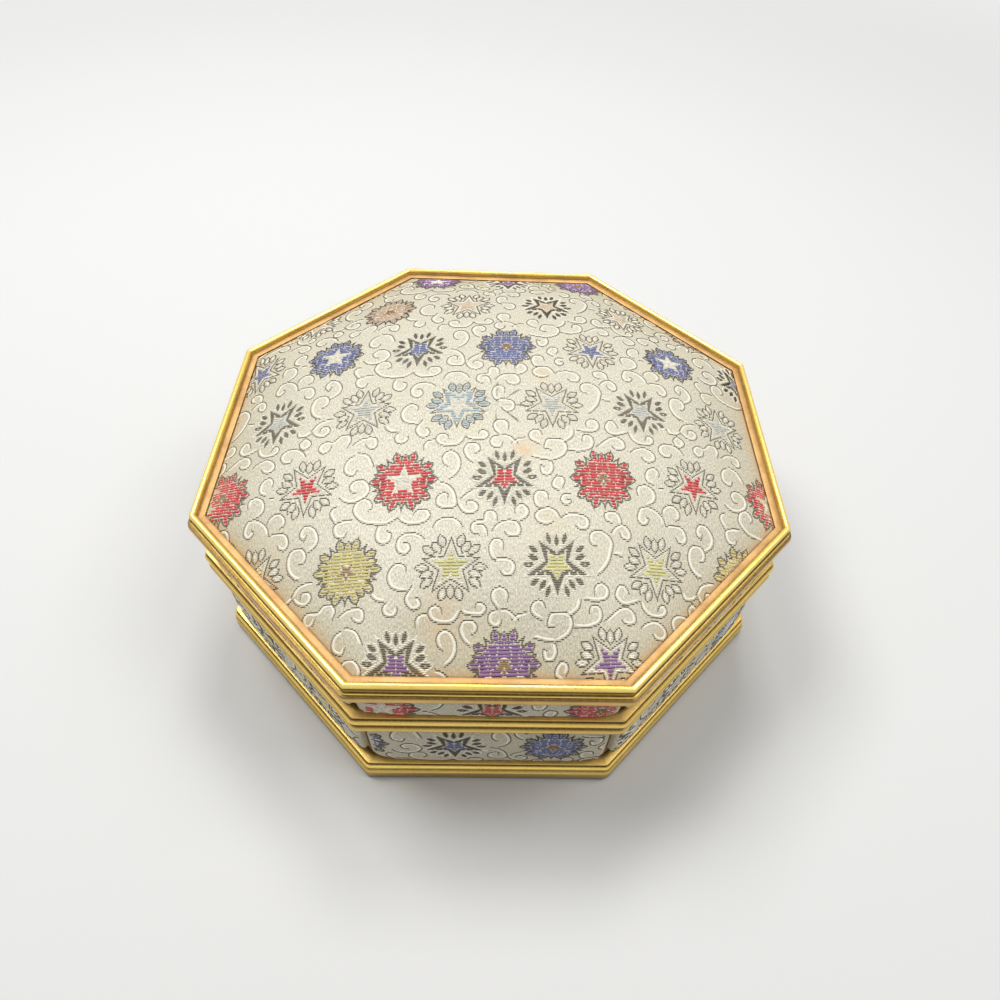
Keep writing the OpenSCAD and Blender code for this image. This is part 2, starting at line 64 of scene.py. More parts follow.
# Scrolls of one repeat of the brocade. Each line is one scroll: its points along the cloth, across and
# up, in tenths of a millimetre from the middle of the lid
SCROLLS = """
-103,-13 -102,-2 -113,8 -127,9 -140,-3 -146,-18 -145,-35 -136,-52 -119,-61 -97,-64
-88,-50 -100,-69 -104,-86 -93,-105 -81,-110 -68,-103 -66,-91 -72,-80 -80,-78
-184,-66 -177,-77 -165,-85 -150,-88
-121,-101 -119,-111 -126,-123 -138,-126 -150,-120 -155,-108 -153,-96 -145,-88
-227,-121 -222,-129 -212,-136 -201,-135 -196,-123 -197,-108 -205,-98 -226,-97 -243,-103 -261,-118
-244,-146 -227,-149 -212,-159 -204,-176 -198,-191
-18,-116 -21,-104 -34,-97 -48,-105 -50,-119 -42,-133 -26,-140 -2,-141 14,-131 24,-111
56,-103 58,-94 68,-91 79,-98 82,-110 71,-123 52,-123 33,-120 24,-111
-78,-149 -79,-134 -70,-120 -52,-117
-15,-204 -25,-198 -31,-184 -30,-169 -21,-158 -8,-155 6,-165 15,-186 14,-211 3,-231 -13,-243
47,-166 58,-162 62,-148 54,-135 39,-132 27,-136 20,-152 23,-168 31,-183 45,-195
130,-89 132,-73 124,-60 112,-55 98,-60 91,-74 95,-92 108,-109
117,-133 113,-146 101,-151 87,-141 85,-124 93,-113 107,-109
113,-108 130,-110 144,-121 155,-136
217,-109 211,-94 198,-89 185,-98 181,-114 190,-128 209,-139
239,-156 220,-152 223,-130 232,-120 263,-121 277,-135 279,-154 269,-174 250,-186 237,-190
299,-89 295,-110 280,-126 266,-133
-202,-320 -193,-315 -194,-300 -205,-287 -222,-286 -235,-297 -240,-319 -230,-338 -212,-354 -186,-361 -155,-362 -139,-353 -128,-345
-92,-338 -84,-327 -68,-324 -56,-329 -51,-344 -59,-358 -76,-366 -101,-367 -120,-357 -128,-345
-153,-381 -142,-386 -141,-401 -149,-414 -164,-416 -177,-405 -180,-385 -175,-366
-113,-414 -100,-416 -94,-431 -104,-446 -122,-441 -129,-423 -126,-404 -113,-391 -94,-388 -75,-394 -62,-406
-13,-297 -12,-284 -24,-280 -37,-289 -41,-306 -35,-319 -18,-326 1,-325 11,-314
-34,-248 -16,-255 -1,-270 7,-289 11,-315
32,-318 33,-307 48,-306 59,-315 61,-329 50,-342 35,-343 21,-334 11,-315
17,-300 30,-286 45,-275
-45,-376 -38,-361 -23,-351 -3,-350 14,-359 26,-377
58,-370 71,-371 81,-383 83,-399
64,-399 51,-397 43,-386 45,-369 57,-361 73,-360 74,-344 81,-334 94,-333 104,-344 106,-362
122,-392 132,-405 153,-406 161,-394 159,-377 147,-363 122,-362 104,-372 93,-387
147,-342 147,-328 160,-317 174,-323 181,-340 174,-356 157,-366
228,-304 226,-288 216,-279 202,-279 192,-292 192,-311 199,-326 212,-331
239,-368 222,-375 202,-369 193,-353 198,-339 214,-329 233,-328 247,-339 256,-356
290,-377 303,-389 320,-385 326,-367 317,-351 296,-344 271,-345 256,-356
283,-287 264,-289 256,-304 265,-320 280,-317 282,-304 272,-303
187,-179 196,-181 216,-187 237,-190
220,-209 209,-204 210,-223 216,-234 234,-233 243,-212 239,-191
249,-235 239,-249 237,-268 254,-281
263,-269 269,-253 264,-238 249,-235
120,-438 119,-417 103,-408 90,-418 86,-438 92,-460 104,-470
112,-493 122,-507 141,-504 148,-482 136,-464 110,-461 98,-464
138,-135 151,-122 173,-117
331,-77 330,-62 337,-51 351,-47 365,-59 366,-77 356,-90 336,-94 319,-93 305,-89
417,-72 408,-53 395,-48 385,-58 380,-77 388,-92 402,-100 422,-96 443,-87
488,-106 494,-93 506,-92 513,-107 504,-121 482,-126 462,-120 449,-106 443,-87
353,-141 370,-126 391,-108 412,-105 428,-117 432,-136 423,-147 404,-147 395,-137
317,-124 320,-107 332,-102 345,-110 349,-128 343,-146 326,-156 307,-160 280,-157
443,-152 455,-141 477,-133 495,-138 509,-152 511,-169 499,-180 482,-179 472,-166
514,-224 516,-211 508,-198 493,-198 480,-210 476,-229 483,-244 500,-251
453,-285 450,-268 457,-255 478,-252 494,-263 501,-282 495,-301 475,-313
470,-344 478,-350 471,-364 458,-368 447,-354 449,-335 457,-319 475,-314
475,-313 498,-324 515,-342 521,-362
549,-346 561,-339 562,-322 550,-307 532,-305 517,-316 512,-330
546,-391 553,-404 569,-407 578,-392 574,-373 563,-361 536,-358 522,-364
382,-367 366,-361 362,-343 373,-335 393,-336 404,-350 406,-369
398,-392 404,-407 422,-412 428,-396 421,-379 406,-369 389,-377 376,-394
342,-430 327,-427 322,-410 329,-393 350,-388 370,-400 381,-421 377,-447 369,-473 352,-497 339,-506
381,-452 404,-455
624,-371 618,-387 605,-374 608,-356 622,-345 643,-355 656,-382 649,-406 627,-422
608,-449 621,-447 628,-429 619,-409 601,-404 583,-414 576,-440 582,-467 602,-493
619,-61 621,-48 637,-44 647,-54 645,-71 630,-82 610,-76 598,-62
554,-55 562,-73 585,-72 598,-62
582,-472 596,-484 613,-492
594,-55 609,-31 630,-21 649,-18
568,-95 575,-115 592,-117 603,-103 598,-89 583,-79 570,-90
558,-145 554,-156 539,-159 525,-146 523,-128 536,-114 560,-111 583,-124 595,-141
660,-115 654,-132 638,-139 626,-126 628,-109 642,-99 663,-101 679,-84 702,-83 710,-102 703,-123
737,-198 728,-216 707,-209 701,-188 708,-166 725,-152
-234,-265 -246,-266 -255,-248 -245,-232 -226,-228 -210,-239 -202,-260 -212,-282 -235,-295 -260,-293 -278,-278
694,-351 679,-325 683,-308 696,-302
726,-377 719,-390 700,-387 691,-369 694,-352 713,-344 738,-342
509,-259 525,-257
"""

# Places along a row where each star is woven, counted in half repeats: kind, and 1 or -1 for point down or up
STAR_ROWS = {
    0: {-1: ("filled", 1), 1: ("open", 1), 3: ("whole", 1), 5: ("petals", 1)},
    1: {0: ("pale", 1), 2: ("petals", 1), 4: ("open", 1), 6: ("petals", -1)},
    2: {-3: ("filled", 1), -1: ("open", 1), 1: ("whole", 1), 3: ("petals", 1)},
    3: {-2: ("whole", 1), 0: ("petals", -1), 2: ("open", 1), 4: ("petals", 1)},
}
# Colours of the stars of each row and of their small hearts, from the middle of the lid backwards
ROW_COLOURS = (("red", "red"), ("sky", "pearl"), ("blue", "blue"), ("rust", "peach"), ("purple", "purple"), ("yellow", "straw"))


def frame_box(node):
    """Lowest and highest corner of a CAD node in millimetres."""
    low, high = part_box(node)
    return np.array(low) / MM, np.array(high) / MM


def colour(name, description, value):
    """A colour property written as 0 to 255 display values, kept as the linear values that shaders take."""
    linear = [((c / 255 + 0.055) / 1.055) ** 2.4 if c > 10 else c / 255 / 12.92 for c in value]
    return FloatVectorProperty(name=name, description=description, subtype="COLOR", size=3, min=0, max=1, default=linear)


def length(name, description, millimetres):
    """A length property; its default is given in millimetres."""
    return FloatProperty(name=name, description=description, default=millimetres * MM, min=0, unit="LENGTH", precision=5)


class BoxSizes(bpy.types.PropertyGroup):
    """Sizes of the box's coverings and mouldings."""

    carcass: length("Carcass", "Distance from the middle to the outer face of a wall", 72.5)
    crown_rise: length("Crown rise", "Rise of the lid cushion from its edge to its crown", 12.0)
    rim_lip: length("Rim lip", "How far the rim's inner lip covers the cushion", 1.0)
    bend: length("Bends", "Radius of the mouldings' outer corners", 1.1)
    panel_gap: length("Panel gap", "Gap between neighbouring side panels", 1.2)
    panel_edge: length("Panel edge", "Thickness of a side panel at its edges", 1.1)
    base_swell: length("Base panel swell", "How far a base panel's middle swells over its edges", 1.7)
    lid_swell: length("Lid panel swell", "How far a lid panel's middle swells over its edges", 1.4)
    pick: length("Weft spacing", "Distance between neighbouring weft threads of the pattern", 0.42)
    repeat_across: length("Repeat across", "Distance between neighbouring stars of a row", 24.4)
    repeat_up: length("Repeat up", "Distance between neighbouring rows of stars", 23.9)
    scroll_width: length("Scroll width", "Width of the cream scrolls", 0.8)
    float_height: length("Float height", "How far a pattern thread stands over the cloth", 0.14)


class BoxColours(bpy.types.PropertyGroup):
    """Colours of threads, cloths, brass and boards."""

    ground: colour("Ground", "Satin ground of the brocade", (224, 218, 200))
    cream: colour("Cream", "Cream star thread", (255, 250, 232))
    scroll: colour("Scrolls", "Raised cream scrolls", (246, 241, 222))
    olive: colour("Olive", "Outline threads", (82, 70, 48))
    red: colour("Red", "Red star thread", (220, 68, 70))
    purple: colour("Purple", "Purple star thread", (142, 100, 154))
    yellow: colour("Yellow", "Yellow star thread", (220, 206, 132))
    blue: colour("Blue", "Blue star thread", (104, 114, 168))
    sky: colour("Sky", "Pale blue star thread", (186, 204, 212))
    straw: colour("Straw", "Hearts of the yellow row", (228, 221, 150))
    peach: colour("Peach", "Hearts of the rust row", (232, 208, 178))
    pearl: colour("Pearl", "Hearts of the pale blue row", (214, 214, 206))
    rust: colour("Rust", "Rust star thread", (208, 178, 148))
    brown: colour("Brown", "Heart of the whole stars", (156, 112, 56))
    brass: colour("Brass", "Lacquered brass of the mouldings", (252, 220, 124))
    # Brown of the mouldings' recesses, undersides and lower faces: tarnish and painted shade; the hinge's scratches use
    # it too
    tarnish_and_shade: colour("Tarnish", "Brown tarnish in the mouldings' recesses", (78, 56, 20))
    copper: colour("Warm brass", "Matt orange brass of the lip over the cushion", (212, 162, 98))
    hinge: colour("Hinge brass", "Plain brass of the hinge", (206, 168, 92))
    satin: colour("Satin", "Lining satin", (216, 190, 140))
    felt: colour("Felt", "Felt under the base", (38, 62, 50))
    # Board brown is set darker than bare board, as painted shade for the dark gaps at the panels' corners
    board: colour("Board", "Thin board of the carcass", (134, 106, 76))
    card: colour("Card", "Card under the inner pads", (186, 172, 146))


def sizes():
    """Named sizes in millimetres."""
    group = bpy.context.scene.box_sizes
    return {name: getattr(group, name) / MM for name in BoxSizes.__annotations__}


def tint(name):
    """A colour of the property group as three numbers."""
    return tuple(getattr(bpy.context.scene.box_colours, name))


# Meshes

def mesh_piece(name, points, faces, body, material, smooth_angle=None, maps=None):
    """One mesh object that rides on a body. points are millimetres, faces a list of index arrays with one
    row for each face, maps a dict of point attributes: one number, two for the cloth map, or three for a colour."""
    mesh = bpy.data.meshes.new(name)
    points = np.asarray(points, np.float32) * MM
    mesh.vertices.add(len(points))
    mesh.vertices.foreach_set("co", points.ravel())
    faces = [np.asarray(f, np.int32) for f in faces if len(f)]
    corners = np.concatenate([f.ravel() for f in faces])
    counts = np.concatenate([np.full(len(f), f.shape[1], np.int32) for f in faces])
    starts = np.concatenate([[0], np.cumsum(counts)[:-1]]).astype(np.int32)
    mesh.loops.add(len(corners))
    mesh.loops.foreach_set("vertex_index", corners)
    mesh.polygons.add(len(counts))
    mesh.polygons.foreach_set("loop_start", starts)
    mesh.polygons.foreach_set("use_smooth", np.ones(len(counts), bool))
    for key, values in (maps or {}).items():
        values = np.asarray(values, np.float32)
        if values.ndim == 1:
            mesh.attributes.new(key, "FLOAT", "POINT").data.foreach_set("value", values)
        elif values.shape[1] == 2:
            mesh.uv_layers.new(name=key).data.foreach_set("uv", values[corners].ravel())
        else:
            rgba = np.concatenate([values, np.ones((len(values), 1), np.float32)], 1)
            mesh.attributes.new(key, "FLOAT_COLOR", "POINT").data.foreach_set("color", rgba.ravel())
    mesh.update(calc_edges=True)
    if mesh.validate():
        raise RuntimeError(f"{name} has faces that cannot be built")
    if smooth_angle is not None:
        mesh.set_sharp_from_angle(angle=math.radians(smooth_angle))
    mesh.materials.append(material)
    piece = bpy.data.objects.new(name, mesh)
    bpy.context.scene.collection.objects.link(piece)
    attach(piece, body)
    return piece


def grid_faces(rows, columns, closed=False, start=0):
    """Four-cornered faces of a grid of points stored row after row, its rows closed into loops where asked."""
    i, j = np.meshgrid(np.arange(rows - 1), np.arange(columns if closed else columns - 1), indexing="ij")
    n = (j + 1) % columns
    return start + np.stack([i * columns + j, i * columns + n, (i + 1) * columns + n, (i + 1) * columns + j], -1).reshape(-1, 4)


def fan_faces(ring, middle, flip=False):
    """Triangles from a closed ring of point numbers to a middle point."""
    ring = np.asarray(ring)
    following = np.roll(ring, -1)
    pair = (following, ring) if flip else (ring, following)
    return np.stack([*pair, np.full(len(ring), middle)], -1)


def octagon_ring(apothem, corner, steps=6, stations=(0.012, 0.25, 0.5, 0.75, 0.988)):
    """Points of a rounded octagon, once round. A corner is an arc of its own radius about a centre that lies
    (apothem - radius) / cos(22.5 degrees) from the middle; stations are shares of the flat between two corners.
    apothem and corner may be arrays; the result has one more axis for the points, and one for x and y."""
    apothem, corner = (np.asarray(a, float)[..., None, None] for a in (apothem, corner))
    heading = TURN * (np.arange(SIDES) + 0.5)[:, None]
    angle = TURN * (np.arange(SIDES)[:, None] + np.arange(steps + 1) / steps)
    reach = (apothem - corner) / math.cos(TURN / 2)
    bend = np.stack([reach * np.cos(heading) + corner * np.cos(angle), reach * np.sin(heading) + corner * np.sin(angle)], -1)
    start, end = bend[..., -1:, :], np.roll(bend[..., :1, :], -1, axis=-3)
    share = np.array(stations)[:, None]
    flat = start + (end - start) * share
    whole = np.concatenate([bend, flat], -2)
    return whole.reshape(*whole.shape[:-3], -1, 2)


def arc(centre, radius, first, last, steps):
    """Points on an arc from one angle to another, in degrees."""
    t = np.radians(np.linspace(first, last, steps + 1))
    return np.stack([centre[0] + radius * np.cos(t), centre[1] + radius * np.sin(t)], -1)


def moulding_ring(profile, size):
    """The points of a profile carried round the box. A profile point stands out from the carcass by its
    first number and lies at the height of its second; the corner radius grows from 0.1 mm at the wall to
    the full bend 2 mm outside it, and is softer still on the outermost faces."""
    profile = np.asarray(profile, float)
    outermost = np.clip((profile[:, 0] - 2.55) / 0.6, 0, 1)
    corner = 0.1 + (size["bend"] - 0.1) * np.clip(profile[:, 0] / 2, 0, 1) + 1.4 * outermost
    plan = octagon_ring(size["carcass"] + profile[:, 0], corner)
    height = np.broadcast_to(profile[:, None, 1:], plan.shape[:-1] + (1,))
    return np.concatenate([plan, height], -1)


def moulding(name, body, profile, worn, matt, size, material):
    """A closed band: the profile carried round the octagon. worn, low where tarnish and painted shade lie, and matt are
    shares for each profile point.
    """
    points = moulding_ring(profile, size)
    count, around = points.shape[:2]
    faces = grid_faces(count + 1, around, closed=True) % (count * around)
    shares = {"worn": np.repeat(worn, around), "matt": np.repeat(matt, around)}
    return mesh_piece(name, points.reshape(-1, 3), [faces[:, ::-1]], body, material, 38, shares)


def octagon_reach(x, y, apothem):
    """Signed distance in plan from points to a sharp octagon, each point folded onto its nearest flat."""
    side = np.round(np.arctan2(y, x) / TURN) * TURN
    out = x * np.cos(side) + y * np.sin(side) - apothem
    along = np.abs(y * np.cos(side) - x * np.sin(side)) - apothem * math.tan(TURN / 2)
    return np.where(along > 0, np.hypot(np.maximum(out, 0), along), out)


def crown_share(x, y, edge):
    """Share s of the way from the middle to the edge: the ring through a point is an octagon of apothem
    s * edge whose corners have the radius s * edge * (1 - s ** 2.2) + 0.1. Found by halving an interval."""
    low, high = np.zeros_like(x), np.full_like(x, 1.03)
    for _ in range(26):
        s = (low + high) / 2
        corner = edge * s * (1 - np.minimum(s, 1) ** 2.2) + 0.1
        outside = octagon_reach(x, y, edge * s - corner) > corner
        low, high = np.where(outside, s, low), np.where(outside, high, s)
    return (low + high) / 2


def dome_height(x, y, apothem, edge_z, rise):
    """Height of a crowned pad: that of its edge plus rise * (1 - s^2)^0.7."""
    s = np.minimum(crown_share(x, y, apothem), 1)
    return edge_z + rise * (1 - s * s) ** 0.7


def blown_up(apothem, edge_z, rise, low_z, pressure):
    """Cloth simulation of a stuffed octagonal pad at ten times its size, where the solver works well. A closed
    shell of the starting height is remeshed into even 4 mm cells, held at its edge and underside, and blown up
    by pressure without gravity. Returns the points of the loose upper side in millimetres."""
    scene = bpy.context.scene
    big = 10 * MM
    share = np.sin(np.linspace(0, 1, 26)[1:] * math.pi / 2)
    corner = np.minimum(apothem * share * (1 - share ** 2.2) + 0.5, apothem * share * 0.999)
    stations = np.linspace(0, 1, 16)[1:-1]
    rings = octagon_ring(np.append(apothem * share, apothem), np.append(corner, 0.5), 6, stations)
    around = rings.shape[1]
    plan = np.concatenate([[[0, 0]], rings.reshape(-1, 2), [[0, 0]]])
    z = np.concatenate([[edge_z + rise], np.repeat(edge_z + rise * (1 - share ** 2) ** 0.7, around), np.full(around + 1, low_z)])
    first, last = 1 + np.arange(around), 1 + len(share) * around + np.arange(around)
    faces = grid_faces(len(share) + 1, around, closed=True, start=1)[:, ::-1].tolist()
    faces += fan_faces(first, 0).tolist() + fan_faces(last, len(plan) - 1, flip=True).tolist()
    mesh = bpy.data.meshes.new("stuffing")
    mesh.from_pydata((np.column_stack([plan, z]) * big).tolist(), [], faces)
    shell = bpy.data.objects.new("stuffing", mesh)
    scene.collection.objects.link(shell)
    even = shell.modifiers.new("even_cells", "REMESH")
    even.mode, even.voxel_size = "VOXEL", 4 * big
    depsgraph = bpy.context.evaluated_depsgraph_get()
    shell.data = bpy.data.meshes.new_from_object(shell.evaluated_get(depsgraph), depsgraph=depsgraph)
    shell.modifiers.clear()
    rest = np.empty(3 * len(shell.data.vertices))
    shell.data.vertices.foreach_get("co", rest)
    loose = rest.reshape(-1, 3)[:, 2] >= (edge_z + 1.0) * big
    shell.vertex_groups.new(name="held").add(np.nonzero(~loose)[0].tolist(), 1.0, "REPLACE")
    cloth = shell.modifiers.new("cloth", "CLOTH")
    fabric = cloth.settings
    fabric.quality, fabric.mass = 5, 0.3
    fabric.use_pressure, fabric.uniform_pressure_force = True, pressure
    fabric.bending_stiffness = 1.0
    fabric.vertex_group_mass = "held"
    fabric.effector_weights.gravity = 0
    cloth.collision_settings.use_collision = False
    cloth.point_cache.frame_start, cloth.point_cache.frame_end = 1, 20
    for step in range(1, 21):
        scene.frame_set(step)
    depsgraph = bpy.context.evaluated_depsgraph_get()
    blown = np.empty_like(rest)
    shell.evaluated_get(depsgraph).data.vertices.foreach_get("co", blown)
    bpy.data.objects.remove(shell)
    scene.frame_set(1)
    return blown.reshape(-1, 3)[loose] / big


class Stuffing:
    """What the simulated stuffing adds to a pad's formula, kept on an even grid over its plan."""

    def __init__(self, apothem, edge_z, rise, low_z, start, pressure, most):
        self.reach, self.step = 80.0, 2.0
        count = int(2 * self.reach / self.step) + 1
        self.added = np.zeros((count, count))
        x, y, z = blown_up(apothem, edge_z, start, low_z, pressure).T
        added = np.clip(z - dome_height(x, y, apothem, edge_z, rise), -most, most)
        line = np.linspace(-self.reach, self.reach, count)
        near_x = np.exp(-((line[:, None] - x) / 3.4) ** 2)
        near_y = np.exp(-((line[:, None] - y) / 3.4) ** 2)
        self.added = (near_x * added) @ near_y.T / (near_x @ near_y.T + 1e-3)

    def at(self, x, y):
        """The added height at plan points, blended between the four nearest grid points."""
        i = np.clip((x + self.reach) / self.step, 0, len(self.added) - 1.001)
        j = np.clip((y + self.reach) / self.step, 0, len(self.added) - 1.001)
        i0, j0 = i.astype(int), j.astype(int)
        di, dj = i - i0, j - j0
        g = self.added
        low = g[i0, j0] * (1 - di) + g[i0 + 1, j0] * di
        high = g[i0, j0 + 1] * (1 - di) + g[i0 + 1, j0 + 1] * di
        return low * (1 - dj) + high * dj


class Crown:
    """The domed surface of the lid cushion."""

    def __init__(self, size):
        low, high = frame_box("lid_cushion_brocade")
        self.edge = size["carcass"] - size["rim_lip"]
        self.rise = size["crown_rise"]
        self.edge_z = high[2] - self.rise
        self.low = low[2]
        self.stuffing = Stuffing(self.edge, self.edge_z, self.rise, self.low, 0.8 * self.rise, 4.0, 0.6)

    def height(self, x, y):
        """The dome with what the stuffing adds, faded out at the edge."""
        fade = 1 - np.clip(crown_share(x, y, self.edge), 0, 1) ** 8
        return dome_height(x, y, self.edge, self.edge_z, self.rise) + self.stuffing.at(x, y) * fade

    def plan(self, u, w):
        """Where a point of the flat cloth comes to lie in plan: drawn slightly off square and taken in towards
        the edge, where the dome falls away."""
        q = u * u + w * w
        x = -10.05 + 1.0142 * u - 0.001 * w + 2.66e-4 * u * u + 2.58e-4 * w * w - 1.1e-5 * u * q
        y = -0.29 + 0.0563 * u + 1.0263 * w + 1.9e-4 * u * w - 9.3e-5 * u * u - 1.0e-4 * w * w - 6e-6 * u * q - 1.4e-5 * w * q
        return x, y

    def cloth(self, x, y):
        """The cloth point that lies at a plan point, found by stepping back the remaining difference."""
        u, w = x + 10.0, y.copy()
        for _ in range(40):
            px, py = self.plan(u, w)
            u, w = u + 0.9 * (x - px), w + 0.9 * (y - py)
        return u, w

    def lay(self, u, w, lift):
        """Cloth coordinates and a lift over the cloth turned into points, and which of them lie inside the rim."""
        x, y = self.plan(u, w)
        step = 0.2
        z = self.height(x, y)
        slope_x = (self.height(x + step, y) - z) / step
        slope_y = (self.height(x, y + step) - z) / step
        run = 1 / np.sqrt(1 + slope_x ** 2 + slope_y ** 2)
        points = np.stack([x - slope_x * run * lift, y - slope_y * run * lift, z + run * lift], -1)
        inside = octagon_reach(x, y, self.edge) < 0.35
        return points, inside


class Panel:
    """The swelled surface of one padded side panel."""

    def __init__(self, side, zone, size, origin):
        low, high = frame_box(f"{zone}_panel_brocade")
        self.heading = side * TURN
        self.half_w = size["carcass"] * math.tan(TURN / 2) - size["panel_gap"] / 2
        self.half_h = (high[2] - low[2]) / 2
        self.middle = (high[2] + low[2]) / 2
        self.edge = size["panel_edge"]
        self.swell = size[f"{zone}_swell"]
        self.carcass = size["carcass"]
        self.origin = origin

    def swelling(self, u, v):
        """Edge thickness plus swell * sqrt(1 - |u|^6) * sqrt(1 - |v|^4), u and v from -1 to 1 across the panel."""
        u, v = np.clip(np.abs(u), 0, 1), np.clip(np.abs(v), 0, 1)
        return self.edge + self.swell * np.sqrt(1 - u ** 6) * np.sqrt(1 - v ** 4)

    def outline(self, a, b):
        """Shares a and b of a square turned into the panel's own outline, whose corners are rounded off."""
        return a * (1 - 0.1 * np.abs(b) ** 8), b * (1 - 0.13 * np.abs(a) ** 16)

    def place(self, along, up, out):
        """A point along the wall, at a height over the panel's middle and standing out from the carcass."""
        c, s = math.cos(self.heading), math.sin(self.heading)
        reach = self.carcass + out
        return np.stack([reach * c - along * s, reach * s + along * c, self.middle + up], -1)

    def lay(self, u, w, lift):
        """Cloth coordinates and a lift turned into points, and which of them lie on the panel's face."""
        along, up = u - self.origin[0], w - self.origin[1]
        a, b = along / self.half_w, up / self.half_h
        out = self.swelling(a, b) + lift
        inside = (np.abs(a) < 0.985 - 0.1 * np.abs(b) ** 8) & (np.abs(b) < 0.95 - 0.13 * np.abs(a) ** 16)
        return self.place(along, up, out), inside


# Weaving

def star_edge(x, y, tip, notch, down=1):
    """Signed distance, inside negative, to a five-pointed star: each point folded onto the nearest arm, whose
    edge runs from the tip to the notch between two arms."""
    arm = 2 * math.pi / 5
    angle = np.arctan2(y * down, x) + math.pi / 2
    angle = np.abs(angle - np.round(angle / arm) * arm)
    radius = np.hypot(x, y)
    px, py = radius * np.cos(angle), radius * np.sin(angle)
    notch_x, notch_y = notch * math.cos(arm / 2), notch * math.sin(arm / 2)
    normal = np.array([notch_y, tip - notch_x])
    normal /= np.hypot(*normal)
    return (px - tip) * normal[0] + py * normal[1]


def petals_edge(x, y, half_length, half_width, down=1):
    """Signed distance, inside negative, to the nearest of fifteen pointed petals: three between two arms of
    the star, each an almond along its own radius, |m| = half_width * (1 - (l / half_length)^2)."""
    gap = np.radians(90 + 72 * np.arange(5))[:, None]
    angle = (gap + np.radians([0, -16.5, 16.5])).ravel()
    centre = np.tile([5.8, 6.65, 6.65], 5)
    c, s = np.cos(angle), np.sin(angle)
    y = y * down
    along = x[..., None] * c + y[..., None] * s - centre
    across = y[..., None] * c - x[..., None] * s
    edge = np.abs(across) - half_width * (1 - (along / half_length) ** 2)
    return (edge * 0.85).min(-1)


THREADS = ("olive", "cream", "row", "heart", "brown")


def star_threads(kind, down, pick):
    """Which thread shows at each place of one star, by weft row. 0 is the ground; 1 olive, 2 cream, 3 the
    row's colour, 4 the colour of its small hearts and 5 brown."""
    rows = np.arange(-22, 22)
    x = np.arange(-9, 9.05, 0.09)
    y = (rows + 0.5) * pick
    px, py = np.meshgrid(x, (y + 0.3) / 1.07)
    star = star_edge(px, py, 7.4, 3.0, down)
    petal = petals_edge(px, py, 1.75, 0.98, down)
    figure = np.minimum(star, petal)
    radius = np.hypot(px, py)
    thread = np.zeros(px.shape, int)
    even = (rows % 2 == 0)[:, None]
    if kind in ("filled", "whole"):
        body = (figure < 0.15) | (radius < 6.2)
        seam = (np.abs(petal) < 0.24) | (np.abs(star) < 0.24) & (radius > 3.4)
        thread[body & even] = 3
        thread[body & ~even & seam] = 2
        thread[body & ~even & seam & (np.abs(px) > 4.6)] = 1
        thread[(figure > -0.26) & (figure < 0.36) & (radius > 5.6)] = 1
        if kind == "filled":
            heart = star_edge(px, py, 3.6, 1.5, -down)
            thread[heart < 0.3] = 0
            thread[heart < 0] = 2
        else:
            heart = star_edge(px, py, 2.4, 1.1, down)
            thread[(heart < 0.5) & (heart >= 0) & ~even] = 2
            thread[heart < 0] = 5
    elif kind == "open":
        thread[(petal < 0.34) & (star > 0.1)] = 2
        thread[(petal < -0.24) & (star > 0.62)] = 1
        thread[(star > 0) & (star < 0.6)] = 2
        thread[star < 0] = 1
        core = star_edge(px, py, 3.4, 1.9, down)
        thread[core < 0.1] = 0
        thread[(core < 0) & even] = 4
        thread[(core < 0) & ~even & (core > -0.5)] = 2
    else:
        thread[petal < -0.2] = 2
        thread[(petal > -0.24) & (petal < 0.16) & (star > 0)] = 1
        thread[(star > -0.32) & (star < 0.1)] = 1
        thread[(star > -0.95) & (star < -0.3)] = 2
        thread[(star < -1.1) & even] = 4
        if kind == "pale":
            field = (petal < -0.25) | (star < 0.1) & (radius < 5.8)
            thread[field & even] = 3
            thread[field & ~even] = 0
            heart = star_edge(px, py, 3.5, 1.5, down)
            thread[heart < 0.25] = 0
            thread[heart < 0] = 2
    return x, y, thread


def runs_of(mask, x, y):
    """Starts, ends and heights of the unbroken runs of a mask's rows."""
    padded = np.pad(mask.astype(np.int8), ((0, 0), (1, 1)))
    change = np.diff(padded, axis=1)
    row, first = np.nonzero(change == 1)
    _, last = np.nonzero(change == -1)
    half = (x[1] - x[0]) / 2
    return x[first] - half, x[last - 1] + half, y[row]


def split_runs(start, end, height, longest, gap):
    """Runs cut into equal floats no longer than the longest, with a gap at each binding point."""
    parts = np.maximum(np.ceil((end - start) / longest), 1).astype(int)
    owner = np.repeat(np.arange(len(parts)), parts)
    place = np.arange(len(owner)) - np.repeat(np.cumsum(parts) - parts, parts)
    piece = ((end - start) / parts)[owner]
    first = start[owner] + place * piece
    return first + gap / 2, first + piece - gap / 2, height[owner]


def star_floats(kind, down, pick):
    """Floats of one star, by thread: start, end, height and half thickness of each. Coloured and olive floats
    lie in every second weft row and stand taller than a row; cream ones fill the rows between them."""
    x, y, thread = star_threads(kind, down, pick)
    floats = {}
    for code, name in enumerate(THREADS, 1):
        start, end, height = runs_of(thread == code, x, y)
        keep = end - start > 0.25
        start, end, height = start[keep], end[keep], height[keep]
        if name in ("olive", "brown"):
            made, half = split_runs(start - 0.08, end + 0.08, height, 2.8, 0.05), 0.5 * pick
        elif name == "cream":
            made, half = split_runs(start, end, height, 2.4, 0.05), 0.62 * pick
        else:
            made, half = split_runs(start, end, height, 3.4, -0.24), 1.12 * pick
        floats[name] = (*made, half)
    return floats


